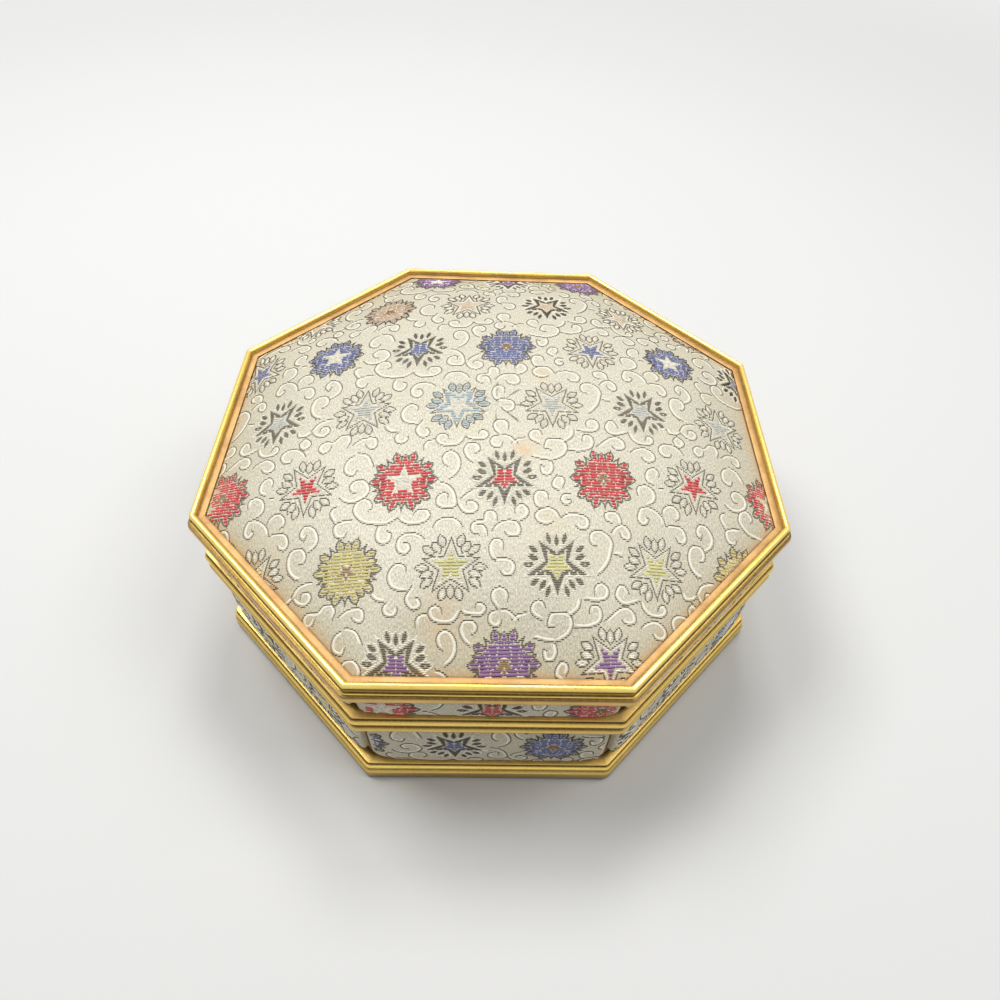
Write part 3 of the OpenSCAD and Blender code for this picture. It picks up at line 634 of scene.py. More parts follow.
def float_mesh(start, end, height, half, lift, lay):
    """Closed lens-shaped floats along the weft, as points and faces. Each has a point at both ends and two
    cross-sections of left edge, crest and right edge; floats that leave the cloth's outline are left out."""
    half = np.broadcast_to(half, start.shape)
    taper = np.minimum(0.3 * (end - start), 0.34)
    zero = np.zeros_like(start)
    u = np.stack([start, *[start + taper] * 3, *[end - taper] * 3, end], -1)
    w = height[:, None] + np.stack([zero, half, zero, -half, half, zero, -half, zero], -1)
    low, top = -0.03 + zero, lift + zero
    rise = np.stack([low, low, top, low, low, top, low, low], -1)
    points, inside = lay(u.ravel(), w.ravel(), rise.ravel())
    keep = inside.reshape(-1, 8).all(1)
    points = points.reshape(-1, 8, 3)[keep]
    shift = 8 * np.arange(len(points))[:, None, None]
    triangles = np.array([[0, 2, 1], [0, 3, 2], [7, 4, 5], [7, 5, 6], [0, 1, 3], [7, 6, 4]])
    quads = np.array([[1, 2, 5, 4], [2, 3, 6, 5], [3, 1, 4, 6]])
    return points.reshape(-1, 3), (shift + triangles).reshape(-1, 3), (shift + quads).reshape(-1, 4), keep


def smooth_path(points, step):
    """A path through points by Catmull-Rom's rule, then spaced evenly by arc length."""
    p = np.vstack([2 * points[0] - points[1], points, 2 * points[-1] - points[-2]])
    t = np.linspace(0, 1, 9)[:-1, None, None]
    a, b, c, d = p[:-3], p[1:-2], p[2:-1], p[3:]
    curve = 0.5 * (2 * b + (c - a) * t + (2 * a - 5 * b + 4 * c - d) * t ** 2 + (3 * b - a - 3 * c + d) * t ** 3)
    curve = np.vstack([curve.transpose(1, 0, 2).reshape(-1, 2), points[-1]])
    along = np.concatenate([[0], np.cumsum(np.hypot(*np.diff(curve, axis=0).T))])
    even = np.linspace(0, along[-1], max(int(along[-1] / step), 4) + 1)
    return np.stack([np.interp(even, along, curve[:, k]) for k in (0, 1)], -1)


def scroll_paths():
    """The scrolls of one repeat as arrays of points in millimetres."""
    lines = SCROLLS.strip().splitlines()
    return [np.array([[float(n) / 10 for n in pair.split(",")] for pair in line.split()]) for line in lines]


def scroll_outline(path, pick):
    """Olive floats of one scroll: the path cut into weft rows, each float as wide as the path is within its row."""
    fine = smooth_path(path, 0.06)
    row = np.floor(fine[:, 1] / pick)
    first = np.concatenate([[0], np.nonzero(np.diff(row))[0] + 1])
    start = np.minimum.reduceat(fine[:, 0], first) - 0.16
    end = np.maximum.reduceat(fine[:, 0], first) + 0.16
    return start, end, (row[first] + 0.5) * pick


def scroll_band(path, width):
    """Cream band of one scroll on the inner side of its bend: stations along the path, five points across
    each and a lift for each point; the width tapers to both ends."""
    line = smooth_path(path, 0.45)
    ahead = np.gradient(line, axis=0)
    ahead /= np.maximum(np.hypot(*ahead.T), 1e-6)[:, None]
    turning = np.sum(ahead[:-1, 0] * ahead[1:, 1] - ahead[:-1, 1] * ahead[1:, 0])
    bend = 1 if turning >= 0 else -1
    side = np.stack([-ahead[:, 1], ahead[:, 0]], -1) * bend
    share = np.linspace(0, 1, len(line))
    taper = np.clip(np.sqrt(np.minimum(share / 0.18, (1 - share) / 0.1)), 0.15, 1)
    middle = line + side * (0.2 + width / 2)
    across = np.array([-0.5, -0.3, 0, 0.3, 0.5]) * width * -bend
    points = middle[:, None] + side[:, None] * (across * taper[:, None])[..., None]
    lift = np.array([-0.04, 0.06, 0.1, 0.06, -0.04]) * taper[:, None] - 0.02 * (1 - taper[:, None])
    return points, lift


def bands_mesh(bands, lay):
    """Closed scroll bands as points and faces: a strip of five points across, whose underside joins its
    edges; a band that leaves the cloth's outline is cut there."""
    points, quads, caps, start = [], [], [], 0
    for uw, lift in bands:
        placed, inside = lay(uw[..., 0].ravel(), uw[..., 1].ravel(), lift.ravel())
        good = inside.reshape(-1, 5).all(1)
        for part in np.split(np.arange(len(good)), np.nonzero(np.diff(good))[0] + 1):
            if not good[part[0]] or len(part) < 4:
                continue
            points.append(placed.reshape(-1, 5, 3)[part].reshape(-1, 3))
            quads.append(grid_faces(len(part), 5, closed=True, start=start))
            caps.append(start + np.array([[4, 3, 2, 1, 0]]))
            caps.append(start + (len(part) - 1) * 5 + np.array([[0, 1, 2, 3, 4]]))
            start += len(part) * 5
    points = np.concatenate(points)
    return points, [np.concatenate(quads), np.concatenate(caps)], np.tile(tint("scroll"), (len(points), 1))


def repeats_near(size, half_across, half_up, middle):
    """Whole repeats of the pattern, as offsets along the cloth, that may touch a rectangle of cloth."""
    across, up = 4 * size["repeat_across"], 2 * size["repeat_up"]
    first_i, last_i = (math.floor((middle[0] + k * half_across) / across) for k in (-1, 1))
    first_j, last_j = (math.floor((middle[1] + k * half_up) / up) for k in (-1, 1))
    return [(i * across, j * up) for i in range(first_i - 1, last_i + 2) for j in range(first_j - 1, last_j + 2)]


class ThreadMesh:
    """Floats gathered into one mesh, with a thread colour at each point."""

    def __init__(self, lay, lift, rng):
        self.lay, self.lift, self.rng, self.count = lay, lift, rng, 0
        self.points, self.tints = [np.zeros((0, 3))], [np.zeros((0, 3))]
        self.triangles, self.quads = [np.zeros((0, 3), int)], [np.zeros((0, 4), int)]

    def add(self, first, last, height, half, thread):
        points, triangles, quads, keep = float_mesh(first, last, height, half, self.lift, self.lay)
        self.points.append(points)
        self.triangles.append(triangles + self.count)
        self.quads.append(quads + self.count)
        shade = 1 + self.rng.uniform(-0.13, 0.1, keep.sum())
        self.tints.append(np.repeat(np.array(tint(thread))[None] * shade[:, None], 8, 0))
        self.count += len(points)

    def arrays(self):
        faces = [np.concatenate(self.triangles), np.concatenate(self.quads)]
        return np.concatenate(self.points), faces, np.concatenate(self.tints)


def gathered(parts):
    """Meshes of points, lists of faces and tints, joined into one such mesh."""
    shifts = np.cumsum([0] + [len(points) for points, _, _ in parts[:-1]])
    faces = [np.concatenate([part[1][k] + shift for part, shift in zip(parts, shifts)]) for k in (0, 1)]
    return np.concatenate([part[0] for part in parts]), faces, np.concatenate([part[2] for part in parts])


def woven_pattern(lay, half_across, half_up, middle, size, rng):
    """All raised threads of one piece of cloth as three meshes: star floats, olive outlines of the scrolls,
    and the scrolls' cream bands."""
    pick, reach = size["pick"], 10.5
    stars, outlines = (ThreadMesh(lay, size["float_height"], rng) for _ in range(2))
    made = {}
    row_first, row_last = (math.floor((middle[1] + k * (half_up + reach)) / size["repeat_up"]) for k in (-1, 1))
    for row in range(row_first + 1, row_last + 3):
        kinds = STAR_ROWS[row % 4]
        row_thread, heart_thread = ROW_COLOURS[row % 6]
        named = {"row": row_thread, "heart": heart_thread}
        w = (row - 1) * size["repeat_up"]
        if abs(w - middle[1]) > half_up + reach:
            continue
        for column in range(-14, 15):
            found = [v for k, v in kinds.items() if (column - k) % 8 == 0]
            u = column * size["repeat_across"] / 2
            if not found or abs(u - middle[0]) > half_across + reach:
                continue
            if found[0] not in made:
                made[found[0]] = star_floats(*found[0], pick)
            for thread, (first, last, height, half) in made[found[0]].items():
                stars.add(first + u, last + u, height + w, half, named.get(thread, thread))
    bands = []
    for path in scroll_paths():
        for du, dw in repeats_near(size, half_across, half_up, middle):
            moved = path + (du, dw)
            if (np.abs(moved - middle).min(0) > (half_across + 2, half_up + 2)).any():
                continue
            outlines.add(*scroll_outline(moved, pick), 0.44 * pick, "olive")
            bands.append(scroll_band(moved, size["scroll_width"]))
    return stars.arrays(), outlines.arrays(), bands_mesh(bands, lay)


# Materials

def new_material(name):
    """An empty node material: the node group's tree, its shader and a function that adds a linked node."""
    material = bpy.data.materials.new(name)
    material.use_nodes = True
    nodes, links = material.node_tree.nodes, material.node_tree.links
    shader = nodes["Principled BSDF"]

    def node(kind, values=None, **inputs):
        made = nodes.new(kind)
        for key, value in (values or {}).items():
            setattr(made, key, value)
        for key, value in inputs.items():
            socket = made.inputs[int(key[1:])] if key[0] == "_" and key[1:].isdigit() else made.inputs[key.replace("_", " ")]
            if isinstance(value, bpy.types.NodeSocket):
                links.new(value, socket)
            else:
                socket.default_value = value
        return made

    return material, shader, node, links


def scaled(node, vector, across, along, up=1.0):
    """A vector multiplied by three scales, so that a noise stretches along a thread or a grain."""
    return node("ShaderNodeVectorMath", {"operation": "MULTIPLY"}, _0=vector, _1=(across, along, up)).outputs[0]


def mixed(node, factor, first, second, blend="MIX"):
    """A colour mix; factor, first and second are sockets or values."""
    made = node("ShaderNodeMix", {"data_type": "RGBA", "blend_type": blend})
    for key, value in ((0, factor), (6, first), (7, second)):
        if isinstance(value, bpy.types.NodeSocket):
            made.id_data.links.new(value, made.inputs[key])
        else:
            made.inputs[key].default_value = (*value, 1) if isinstance(value, tuple) and len(value) == 3 else value
    return made.outputs[2]


def ramp(node, factor, stops):
    """A colour ramp of grey or coloured stops, each a place and a colour."""
    made = node("ShaderNodeValToRGB", _0=factor)
    made.color_ramp.elements[0].position, made.color_ramp.elements[1].position = stops[0][0], stops[-1][0]
    for place, _ in stops[1:-1]:
        made.color_ramp.elements.new(place)
    for element, (_, value) in zip(made.color_ramp.elements, stops):
        element.color = (value, value, value, 1) if isinstance(value, (int, float)) else (*value, 1)
    return made.outputs[0]


def brocade_ground():
    """Satin ground: fine warp streaks and weft ribs read from the cloth's own map, a little unevenness of
    tone, the age attribute, which dulls it for age and darkens it as painted shade, and the stain attribute, which
    browns it."""
    material, shader, node, links = new_material("brocade_ground")
    cloth = node("ShaderNodeUVMap", {"uv_map": "cloth"}).outputs[0]
    streak = node("ShaderNodeTexNoise", Vector=scaled(node, cloth, 2900.0, 1300.0), Scale=1.0, Detail=3.0, Roughness=0.6).outputs[0]
    cloud = node("ShaderNodeTexNoise", Vector=scaled(node, cloth, 60.0, 60.0), Scale=1.0, Detail=2.0).outputs[0]
    base = tint("ground")
    toned = mixed(node, ramp(node, streak, [(0.32, 0.0), (0.7, 1.0)]), tuple(c * f for c, f in zip(base, (0.58, 0.59, 0.56))), tuple(min(c * 1.22, 1) for c in base))
    toned = mixed(node, ramp(node, cloud, [(0.35, 0.0), (0.75, 0.35)]), toned, tuple(c * f for c, f in zip(base, (0.92, 0.86, 0.74))))
    # age darkens and browns the cloth: some of it is age, most of it is painted shade on the cushion's back and the
    # side panels
    age = node("ShaderNodeAttribute", {"attribute_name": "age"}).outputs["Fac"]
    toned = mixed(node, age, toned, mixed(node, 1.0, toned, (0.74, 0.69, 0.58), "MULTIPLY"))
    stain = node("ShaderNodeAttribute", {"attribute_name": "stain"}).outputs["Fac"]
    blot = node("ShaderNodeTexNoise", Vector=scaled(node, cloth, 420.0, 420.0), Scale=1.0, Detail=4.0).outputs[0]
    much = node("ShaderNodeMath", {"operation": "MULTIPLY", "use_clamp": True}, _0=stain, _1=ramp(node, blot, [(0.3, 0.45), (0.62, 1.0)])).outputs[0]
    toned = mixed(node, much, toned, (0.68, 0.47, 0.24))
    links.new(toned, shader.inputs["Base Color"])
    shader.inputs["Roughness"].default_value = 0.42
    shader.inputs["Specular IOR Level"].default_value = 0.45
    shader.inputs["Sheen Weight"].default_value = 0.25
    shader.inputs["Sheen Roughness"].default_value = 0.4
    bump = node("ShaderNodeBump", Strength=0.35, Distance=0.00012, Height=streak)
    links.new(bump.outputs[0], shader.inputs["Normal"])
    return material


def thread_material(name, uneven, roughness):
    """Floss thread: the thread attribute gives its colour, a fine noise breaks it up along the filaments."""
    material, shader, node, links = new_material(name)
    thread = node("ShaderNodeAttribute", {"attribute_name": "thread"}).outputs["Color"]
    place = node("ShaderNodeTexCoord").outputs["Object"]
    fibre = node("ShaderNodeTexNoise", Vector=scaled(node, place, 900.0, 4200.0, 4200.0), Scale=1.0, Detail=2.0).outputs[0]
    shade = ramp(node, fibre, [(0.3, 1 - uneven), (0.7, 1.0)])
    links.new(mixed(node, 1.0, thread, shade, "MULTIPLY"), shader.inputs["Base Color"])
    shader.inputs["Roughness"].default_value = roughness
    shader.inputs["Specular IOR Level"].default_value = 0.5
    shader.inputs["Sheen Weight"].default_value = 0.2
    bump = node("ShaderNodeBump", Strength=0.3, Distance=0.0001, Height=fibre)
    links.new(bump.outputs[0], shader.inputs["Normal"])
    return material


def brass_material(name, base, roughness):
    """Lacquered brass: a bright base on rubbed crests, brown tarnish and painted shade where the worn attribute is low,
    a matt orange tone where the matt attribute is high, with cloudy changes of tone and fine specks."""
    material, shader, node, links = new_material(name)
    place = node("ShaderNodeTexCoord").outputs["Object"]
    cloud = node("ShaderNodeTexNoise", Vector=place, Scale=140.0, Detail=4.0, Roughness=0.6).outputs[0]
    speck = node("ShaderNodeTexNoise", Vector=place, Scale=1300.0, Detail=3.0, Roughness=0.65).outputs[0]
    worn = node("ShaderNodeAttribute", {"attribute_name": "worn"}).outputs["Fac"]
    matt = node("ShaderNodeAttribute", {"attribute_name": "matt"}).outputs["Fac"]
    dark, warm = tint("tarnish_and_shade"), tint("copper")
    bright = mixed(node, ramp(node, cloud, [(0.42, 0.0), (0.7, 0.6)]), base, tuple(c * f for c, f in zip(base, (0.9, 0.8, 0.6))))
    blush = mixed(node, ramp(node, cloud, [(0.36, 0.0), (0.66, 1.0)]), tuple(c * 0.72 for c in warm), tuple(min(c * f, 1) for c, f in zip(warm, (1.08, 1.2, 1.3))))
    toned = mixed(node, matt, bright, blush)
    uneven = node("ShaderNodeMath", {"operation": "MULTIPLY_ADD"}, _0=speck, _1=0.3, _2=-0.15).outputs[0]
    # Low worn lays the tarnish colour over recesses, undersides and lower faces: partly tarnish, partly painted shade
    keep = node("ShaderNodeMath", {"operation": "ADD", "use_clamp": True}, _0=worn, _1=uneven).outputs[0]
    toned = mixed(node, keep, dark, toned)
    toned = mixed(node, ramp(node, speck, [(0.66, 0.0), (0.76, 0.4)]), toned, dark)
    links.new(toned, shader.inputs["Base Color"])
    metal = node("ShaderNodeMapRange", Value=matt, To_Min=1.0, To_Max=0.35)
    links.new(metal.outputs[0], shader.inputs["Metallic"])
    gloss = node("ShaderNodeMapRange", Value=cloud, To_Min=roughness * 0.8, To_Max=roughness * 1.4).outputs[0]
    rough = node("ShaderNodeMath", {"operation": "MULTIPLY_ADD", "use_clamp": True}, _0=matt, _1=0.24, _2=gloss)
    links.new(rough.outputs[0], shader.inputs["Roughness"])
    bump = node("ShaderNodeBump", Strength=0.15, Distance=0.0001, Height=speck)
    links.new(bump.outputs[0], shader.inputs["Normal"])
    return material


def hinge_material():
    """Hinge metal: plain brass with a cloudy tone, dull specks and fine scratches."""
    material, shader, node, links = new_material("hinge_metal")
    place = node("ShaderNodeTexCoord").outputs["Object"]
    cloud = node("ShaderNodeTexNoise", Vector=place, Scale=220.0, Detail=4.0, Roughness=0.6).outputs[0]
    scratch = node("ShaderNodeTexNoise", Vector=scaled(node, place, 240.0, 2200.0, 2200.0), Scale=1.0, Detail=3.0).outputs[0]
    base = tint("hinge")
    toned = mixed(node, ramp(node, cloud, [(0.4, 0.0), (0.66, 0.55)]), base, tuple(c * f for c, f in zip(base, (0.74, 0.66, 0.5))))
    toned = mixed(node, ramp(node, scratch, [(0.62, 0.0), (0.72, 0.4)]), toned, tint("tarnish_and_shade"))
    links.new(toned, shader.inputs["Base Color"])
    shader.inputs["Metallic"].default_value = 1.0
    rough = node("ShaderNodeMapRange", Value=cloud, To_Min=0.22, To_Max=0.42).outputs[0]
    links.new(rough, shader.inputs["Roughness"])
    bump = node("ShaderNodeBump", Strength=0.12, Distance=0.0001, Height=scratch)
    links.new(bump.outputs[0], shader.inputs["Normal"])
    return material


def satin_material():
    """Lining satin: long warp streaks with a soft sheen."""
    material, shader, node, links = new_material("lining_satin")
    place = node("ShaderNodeTexCoord").outputs["Object"]
    streak = node("ShaderNodeTexNoise", Vector=scaled(node, place, 1500.0, 260.0, 260.0), Scale=1.0, Detail=3.0).outputs[0]
    cloud = node("ShaderNodeTexNoise", Vector=place, Scale=38.0, Detail=2.0).outputs[0]
    base = tint("satin")
    toned = mixed(node, ramp(node, streak, [(0.3, 0.0), (0.7, 1.0)]), tuple(c * 0.8 for c in base), tuple(min(c * 1.12, 1) for c in base))
    toned = mixed(node, ramp(node, cloud, [(0.4, 0.0), (0.7, 0.4)]), toned, tuple(c * f for c, f in zip(base, (0.94, 0.86, 0.72))))
    links.new(toned, shader.inputs["Base Color"])
    shader.inputs["Roughness"].default_value = 0.36
    shader.inputs["Sheen Weight"].default_value = 0.35
    bump = node("ShaderNodeBump", Strength=0.25, Distance=0.0001, Height=streak)
    links.new(bump.outputs[0], shader.inputs["Normal"])
    return material


def fibre_material(name, base, scale, rough, speckle, bump_height):
    """Felt, board or card: matted fibres as a fine noise in tone and relief."""
    material, shader, node, links = new_material(name)
    place = node("ShaderNodeTexCoord").outputs["Object"]
    fibre = node("ShaderNodeTexNoise", Vector=place, Scale=scale, Detail=6.0, Roughness=0.7).outputs[0]
    patch = node("ShaderNodeTexNoise", Vector=place, Scale=scale / 14, Detail=3.0).outputs[0]
    toned = mixed(node, ramp(node, fibre, [(0.32, 0.0), (0.7, 1.0)]), tuple(c * (1 - speckle) for c in base), tuple(min(c * (1 + speckle), 1) for c in base))
    toned = mixed(node, ramp(node, patch, [(0.4, 0.0), (0.7, 0.3)]), toned, tuple(c * 0.75 for c in base))
    links.new(toned, shader.inputs["Base Color"])
    shader.inputs["Roughness"].default_value = rough
    bump = node("ShaderNodeBump", Strength=0.5, Distance=bump_height, Height=fibre)
    links.new(bump.outputs[0], shader.inputs["Normal"])
    return material


def finish(name):
    """The material of that name, made on first use."""
    found = bpy.data.materials.get(name)
    if found:
        return found
    makers = {
        "brocade_ground": brocade_ground,
        "woven_threads": lambda: thread_material("woven_threads", 0.2, 0.45),
        "scroll_threads": lambda: thread_material("scroll_threads", 0.16, 0.36),
        "lacquered_brass": lambda: brass_material("lacquered_brass", tint("brass"), 0.24),
        "hinge_metal": hinge_material,
        "lining_satin": satin_material,
        "base_felt": lambda: fibre_material("base_felt", tint("felt"), 1600, 0.95, 0.35, 0.0003),
        "carcass_board": lambda: fibre_material("carcass_board", tint("board"), 700, 0.8, 0.18, 0.0001),
        "pad_card": lambda: fibre_material("pad_card", tint("card"), 900, 0.85, 0.12, 0.0001),
    }
    return makers[name]()


# Pieces

# Mouldings, each a profile point by point: how far it stands out from the carcass, its height, and its worn share,
# 1 on a rubbed crest and 0 in a recess; low shares on recesses, undersides and lower faces are tarnish and painted
# shade
def rim_profile():
    """Rim: a thin lip over the cushion, a bead, a cove, a fine step and a face that swells by
    0.6 * (1 - t^2) over its upper part."""
    t = np.linspace(0, 1, 13)
    face = np.stack([3.0 + 0.6 * (1 - ((t - 0.4) / 0.6) ** 2), 50.4 - 2.9 * t], -1)
    return joined([
        ([(-1.0, 51.5), (-1.0, 51.85), (-0.97, 51.94), (-0.88, 51.99), (-0.4, 52.05), (0.3, 52.08), (0.56, 52.05)],
         (0.1, 0.5, 0.9, 1, 1, 0.85, 0.35), 1.0),
        ([(0.68, 52.12), (0.74, 52.3)], (0.3, 0.6), 0.3),
        (arc((1.55, 52.8), 0.8, 205, -40, 22), (0.7, 0.8, 1, 1, 1, 0.9, 0.4, 0.05), 0.0),
        (arc((2.8, 51.7), 0.75, 140, 235, 11), (0.0, 0.3, 0.45, 0.3, 0.0), 0.2),
        (arc((2.54, 50.8), 0.3, 70, -70, 8), (0.3, 1, 1, 0.1), 0.0),
        (face, (0.1, 0.9, 1, 1, 0.9, 0.75, 0.5, 0.1), 0.6),
        ([(2.9, 47.42), (0.1, 47.4), (0.1, 51.5)], 0.05, 0.0),
    ])


def lid_lower_profile():
    """Lower edge of the lid: ledge, bead and a lip turned in under the wall."""
    return joined([
        ([(0.1, 37.9), (1.2, 37.82), (2.6, 37.72), (2.7, 37.62), (2.7, 37.2)], (0.1, 0.7, 0.9, 0.8, 0.2), 0.5),
        ([(2.7, 36.75)], 0.0, 0.0),
        (arc((2.6, 35.75), 0.9, 75, -75, 16), (0.1, 0.7, 1, 0.8, 0.4, 0.15, 0.05), 0.1),
        ([(2.7, 34.0), (2.4, 33.6), (-2.9, 33.6), (-2.9, 34.05), (0.1, 34.05)], (0.05, 0.2, 0.8, 0.8, 0.3), 0.0),
    ])


def base_upper_profile():
    """Upper edge of the base: a lip turned in over the wall and a bead."""
    return joined([
        ([(0.1, 32.95), (-2.9, 32.95), (-2.9, 33.4), (2.4, 33.4), (2.7, 33.0)], (0.3, 0.8, 0.8, 0.4, 0.05), 0.0),
        (arc((2.6, 31.9), 0.9, 75, -75, 16), (0.1, 0.6, 0.9, 0.7, 0.4, 0.15, 0.05), 0.3),
        ([(2.4, 30.4), (0.1, 30.4)], 0.05, 0.0),
    ])


def foot_profile():
    """Foot: ledge, bead and a skirt that spreads to the table."""
    return joined([
        ([(0.1, 7.6), (1.2, 7.52), (2.6, 7.42), (2.7, 7.32), (2.7, 7.0)], (0.1, 0.5, 0.9, 0.8, 0.1), 0.4),
        ([(2.7, 6.6)], 0.0, 0.0),
        (arc((2.6, 5.6), 0.9, 75, -60, 15), (0.1, 0.8, 1, 0.9, 0.5, 0.2, 0.05), 0.0),
        ([(3.1, 4.5)], 0.0, 0.0),
        ([(3.75, 3.95), (3.9, 3.8), (3.96, 3.5), (4.0, 2.6), (4.07, 1.3), (4.05, 0.95)], (0.6, 0.9, 0.7, 0.5, 0.4, 0.2), 0.2),
        ([(3.7, 0.6), (0.1, 0.6)], 0.05, 0.0),
    ])


def joined(parts):
    """Parts of a profile set one after another, with the worn and matt shares of each spread along it."""
    points = np.concatenate([np.asarray(p, float) for p, _, _ in parts])

    def spread(p, share):
        share = np.atleast_1d(np.asarray(share, float))
        return np.interp(np.linspace(0, 1, len(p)), np.linspace(0, 1, len(share)), share) if len(share) > 1 else np.full(len(p), share[0])

    return points, *(np.concatenate([spread(part[0], part[k]) for part in parts]) for k in (1, 2))


def lid_cushion(size):
    """Domed cushion: rings of a rounded octagon from the crown down to the edge, then flat under the rim's lip
    and down to the board. The cloth map is worked out from the same drawing-in as the pattern's threads."""
    crown = Crown(size)
    share = np.sin(np.linspace(0, 1, 62)[1:] * math.pi / 2)
    corner = crown.edge * share * (1 - share ** 2.2) + 0.1
    stations = np.linspace(0, 1, 30)[1:-1]
    rings = octagon_ring(crown.edge * share, corner, 9, stations)
    around = rings.shape[1]
    skirt = octagon_ring(crown.edge + np.array([0.5, 0.9, 0.9]), np.full(3, 0.1), 9, stations)
    plan = np.concatenate([[[0.0, 0.0]], rings.reshape(-1, 2), skirt.reshape(-1, 2), [[0.0, 0.0]]])
    x, y = plan.T
    z = crown.height(x, y)
    z[-1 - 3 * around:-1] = np.repeat([crown.edge_z, crown.edge_z, crown.low], around)
    z[-1] = crown.low
    count = len(share) + 3
    faces = grid_faces(count, around, closed=True, start=1)
    top = fan_faces(1 + np.arange(around), 0, flip=True)
    last = 1 + (count - 1) * around
    under = fan_faces(last + np.arange(around), len(plan) - 1)
    u, w = crown.cloth(x, y)
    reach = crown.edge + octagon_reach(x, y, crown.edge)
    stain = np.clip((reach - crown.edge + 2.6) / 2.6, 0, 1) ** 1.5
    for left, up, spread, depth in ((12.5, 13.0, 1.7, 0.5), (7.2, -15.3, 1.9, 0.9), (13.8, -35.0, 3.4, 0.22), (-10.9, -61.3, 3.6, 0.5)):
        stain = np.maximum(stain, depth * np.exp(-((x - left) ** 2 + (y - up) ** 2) / (2 * spread ** 2)))
    share = np.clip(reach / crown.edge, 0, 1)
    # Dulled towards the rim, and darkened towards the back as painted shade
    age = 0.75 * share ** 5 + 0.25 * np.clip(y / crown.edge, 0, 1) ** 2
    piece = mesh_piece("lid_cushion", np.stack([x, y, z], -1), [faces[:, ::-1], top[:, ::-1], under[:, ::-1]], "lid",
                       finish("brocade_ground"), None, {"cloth": np.stack([u, w], -1) * MM, "stain": stain, "age": age})
    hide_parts("lid_cushion_wadding", "lid_cushion_brocade")
    weave("lid_cushion", "lid", *woven_pattern(crown.lay, 76.0, 76.0, (0.0, 0.0), size, np.random.default_rng(3)))


def weave(name, body, stars, outlines, bands):
    """The raised threads of one cloth as three pieces: star floats, scroll outlines and cream scrolls."""
    for part, (points, faces, tints), material in (
        ("floats", stars, "woven_threads"), ("outlines", outlines, "woven_threads"), ("scrolls", bands, "scroll_threads"),
    ):
        piece = mesh_piece(f"{name}_{part}", points, faces, body, finish(material), None, {"thread": tints})


def panel_origins(zone):
    """Which cloth point lies in the middle of each side panel, so that stars stand where the real ones do on
    the three front panels and are cut at chance places on the others."""
    if zone == "base":
        front = {5: (33.0, -49.8), 6: (-3.8, 21.9), 7: (-18.2, -1.5)}
    else:
        front = {5: (16.0, -66.0), 6: (11.5, -24.0), 7: (-7.0, 3.0)}
    return [front.get(side, (17.3 * side - 30, 23.9 * (side % 5 - 2) + 3.1 * side)) for side in range(SIDES)]


def side_panels(zone, size):
    """Eight padded panels of one zone. Each is a grid over the panel's face, closer towards its edges, that
    swells out, turns down to the wall along its rounded outline and is closed at the back."""
    points, quads, triangles, maps, start = [], [], [], [], 0
    ages_and_shades, woven = [], []
    rows, columns = 27, 53
    b, a = np.meshgrid(np.sin(np.linspace(-1, 1, rows) * math.pi / 2), np.sin(np.linspace(-1, 1, columns) * math.pi / 2), indexing="ij")
    index = np.arange(rows * columns).reshape(rows, columns)
    rim = np.concatenate([index[0, :-1], index[:-1, -1], index[-1, :0:-1], index[:0:-1, 0]])
    rng = np.random.default_rng(11 if zone == "base" else 12)
    for side, origin in enumerate(panel_origins(zone)):
        panel = Panel(side, zone, size, origin)
        pa, pb = panel.outline(a, b)
        along, up = (pa * panel.half_w).ravel(), (pb * panel.half_h).ravel()
        out = panel.swelling(a, b).ravel()
        front = panel.place(along, up, out)
        back = panel.place(along[rim], up[rim], np.full(len(rim), 0.1))
        middle = panel.place(np.zeros(1), np.zeros(1), np.full(1, 0.1))
        points.append(np.concatenate([front, back, middle]))
        lower = rows * columns + np.arange(len(rim))
        skirt = np.stack([rim, lower, np.roll(lower, -1), np.roll(rim, -1)], -1)
        quads += [start + grid_faces(rows, columns), start + skirt]
        triangles.append(start + fan_faces(lower, rows * columns + len(rim), flip=True))
        uv = np.stack([along + origin[0], up + origin[1]], -1)
        maps.append(np.concatenate([uv, uv[rim], [origin]]) * MM)
        # Panels darkened all over and most along their edges by the mouldings: painted shade, with some age
        shade_and_age = 0.55 + 0.45 * np.maximum(np.abs(a) ** 12, np.abs(b) ** 6).ravel()
        ages_and_shades.append(np.concatenate([shade_and_age, shade_and_age[rim], [1.0]]))
        start += len(points[-1])
        woven.append(woven_pattern(panel.lay, panel.half_w, panel.half_h, origin, size, rng))
    uv = np.concatenate(maps)
    piece = mesh_piece(f"{zone}_panels", np.concatenate(points), [np.concatenate(quads), np.concatenate(triangles)], zone,
                       finish("brocade_ground"), 60, {"cloth": uv, "stain": np.zeros(len(uv)), "age": np.concatenate(ages_and_shades)})
    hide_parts(f"{zone}_panel_wadding", f"{zone}_panel_brocade")
    weave(f"{zone}_panel", zone, *(gathered(parts) for parts in zip(*woven)))


def cut_box(piece, low, high):
    """A box-shaped notch cut out of a piece with a boolean that is applied at once."""
    x, y, z = (np.array(v, float) for v in zip(low, high))
    points = np.stack(np.meshgrid(x, y, z, indexing="ij"), -1).reshape(-1, 3)
    mesh = bpy.data.meshes.new("notch")
    mesh.from_pydata((points * MM).tolist(), [], [(0, 1, 3, 2), (4, 6, 7, 5), (0, 4, 5, 1), (2, 3, 7, 6), (0, 2, 6, 4), (1, 5, 7, 3)])
    cutter = bpy.data.objects.new("notch", mesh)
    bpy.context.scene.collection.objects.link(cutter)
    step = piece.modifiers.new("notch", "BOOLEAN")
    step.object, step.operation, step.solver = cutter, "DIFFERENCE", "EXACT"
    depsgraph = bpy.context.evaluated_depsgraph_get()
    cut = bpy.data.meshes.new_from_object(piece.evaluated_get(depsgraph), depsgraph=depsgraph)
    piece.modifiers.clear()
    piece.data = cut
    bpy.data.objects.remove(cutter)
    cut.set_sharp_from_angle(angle=math.radians(38))


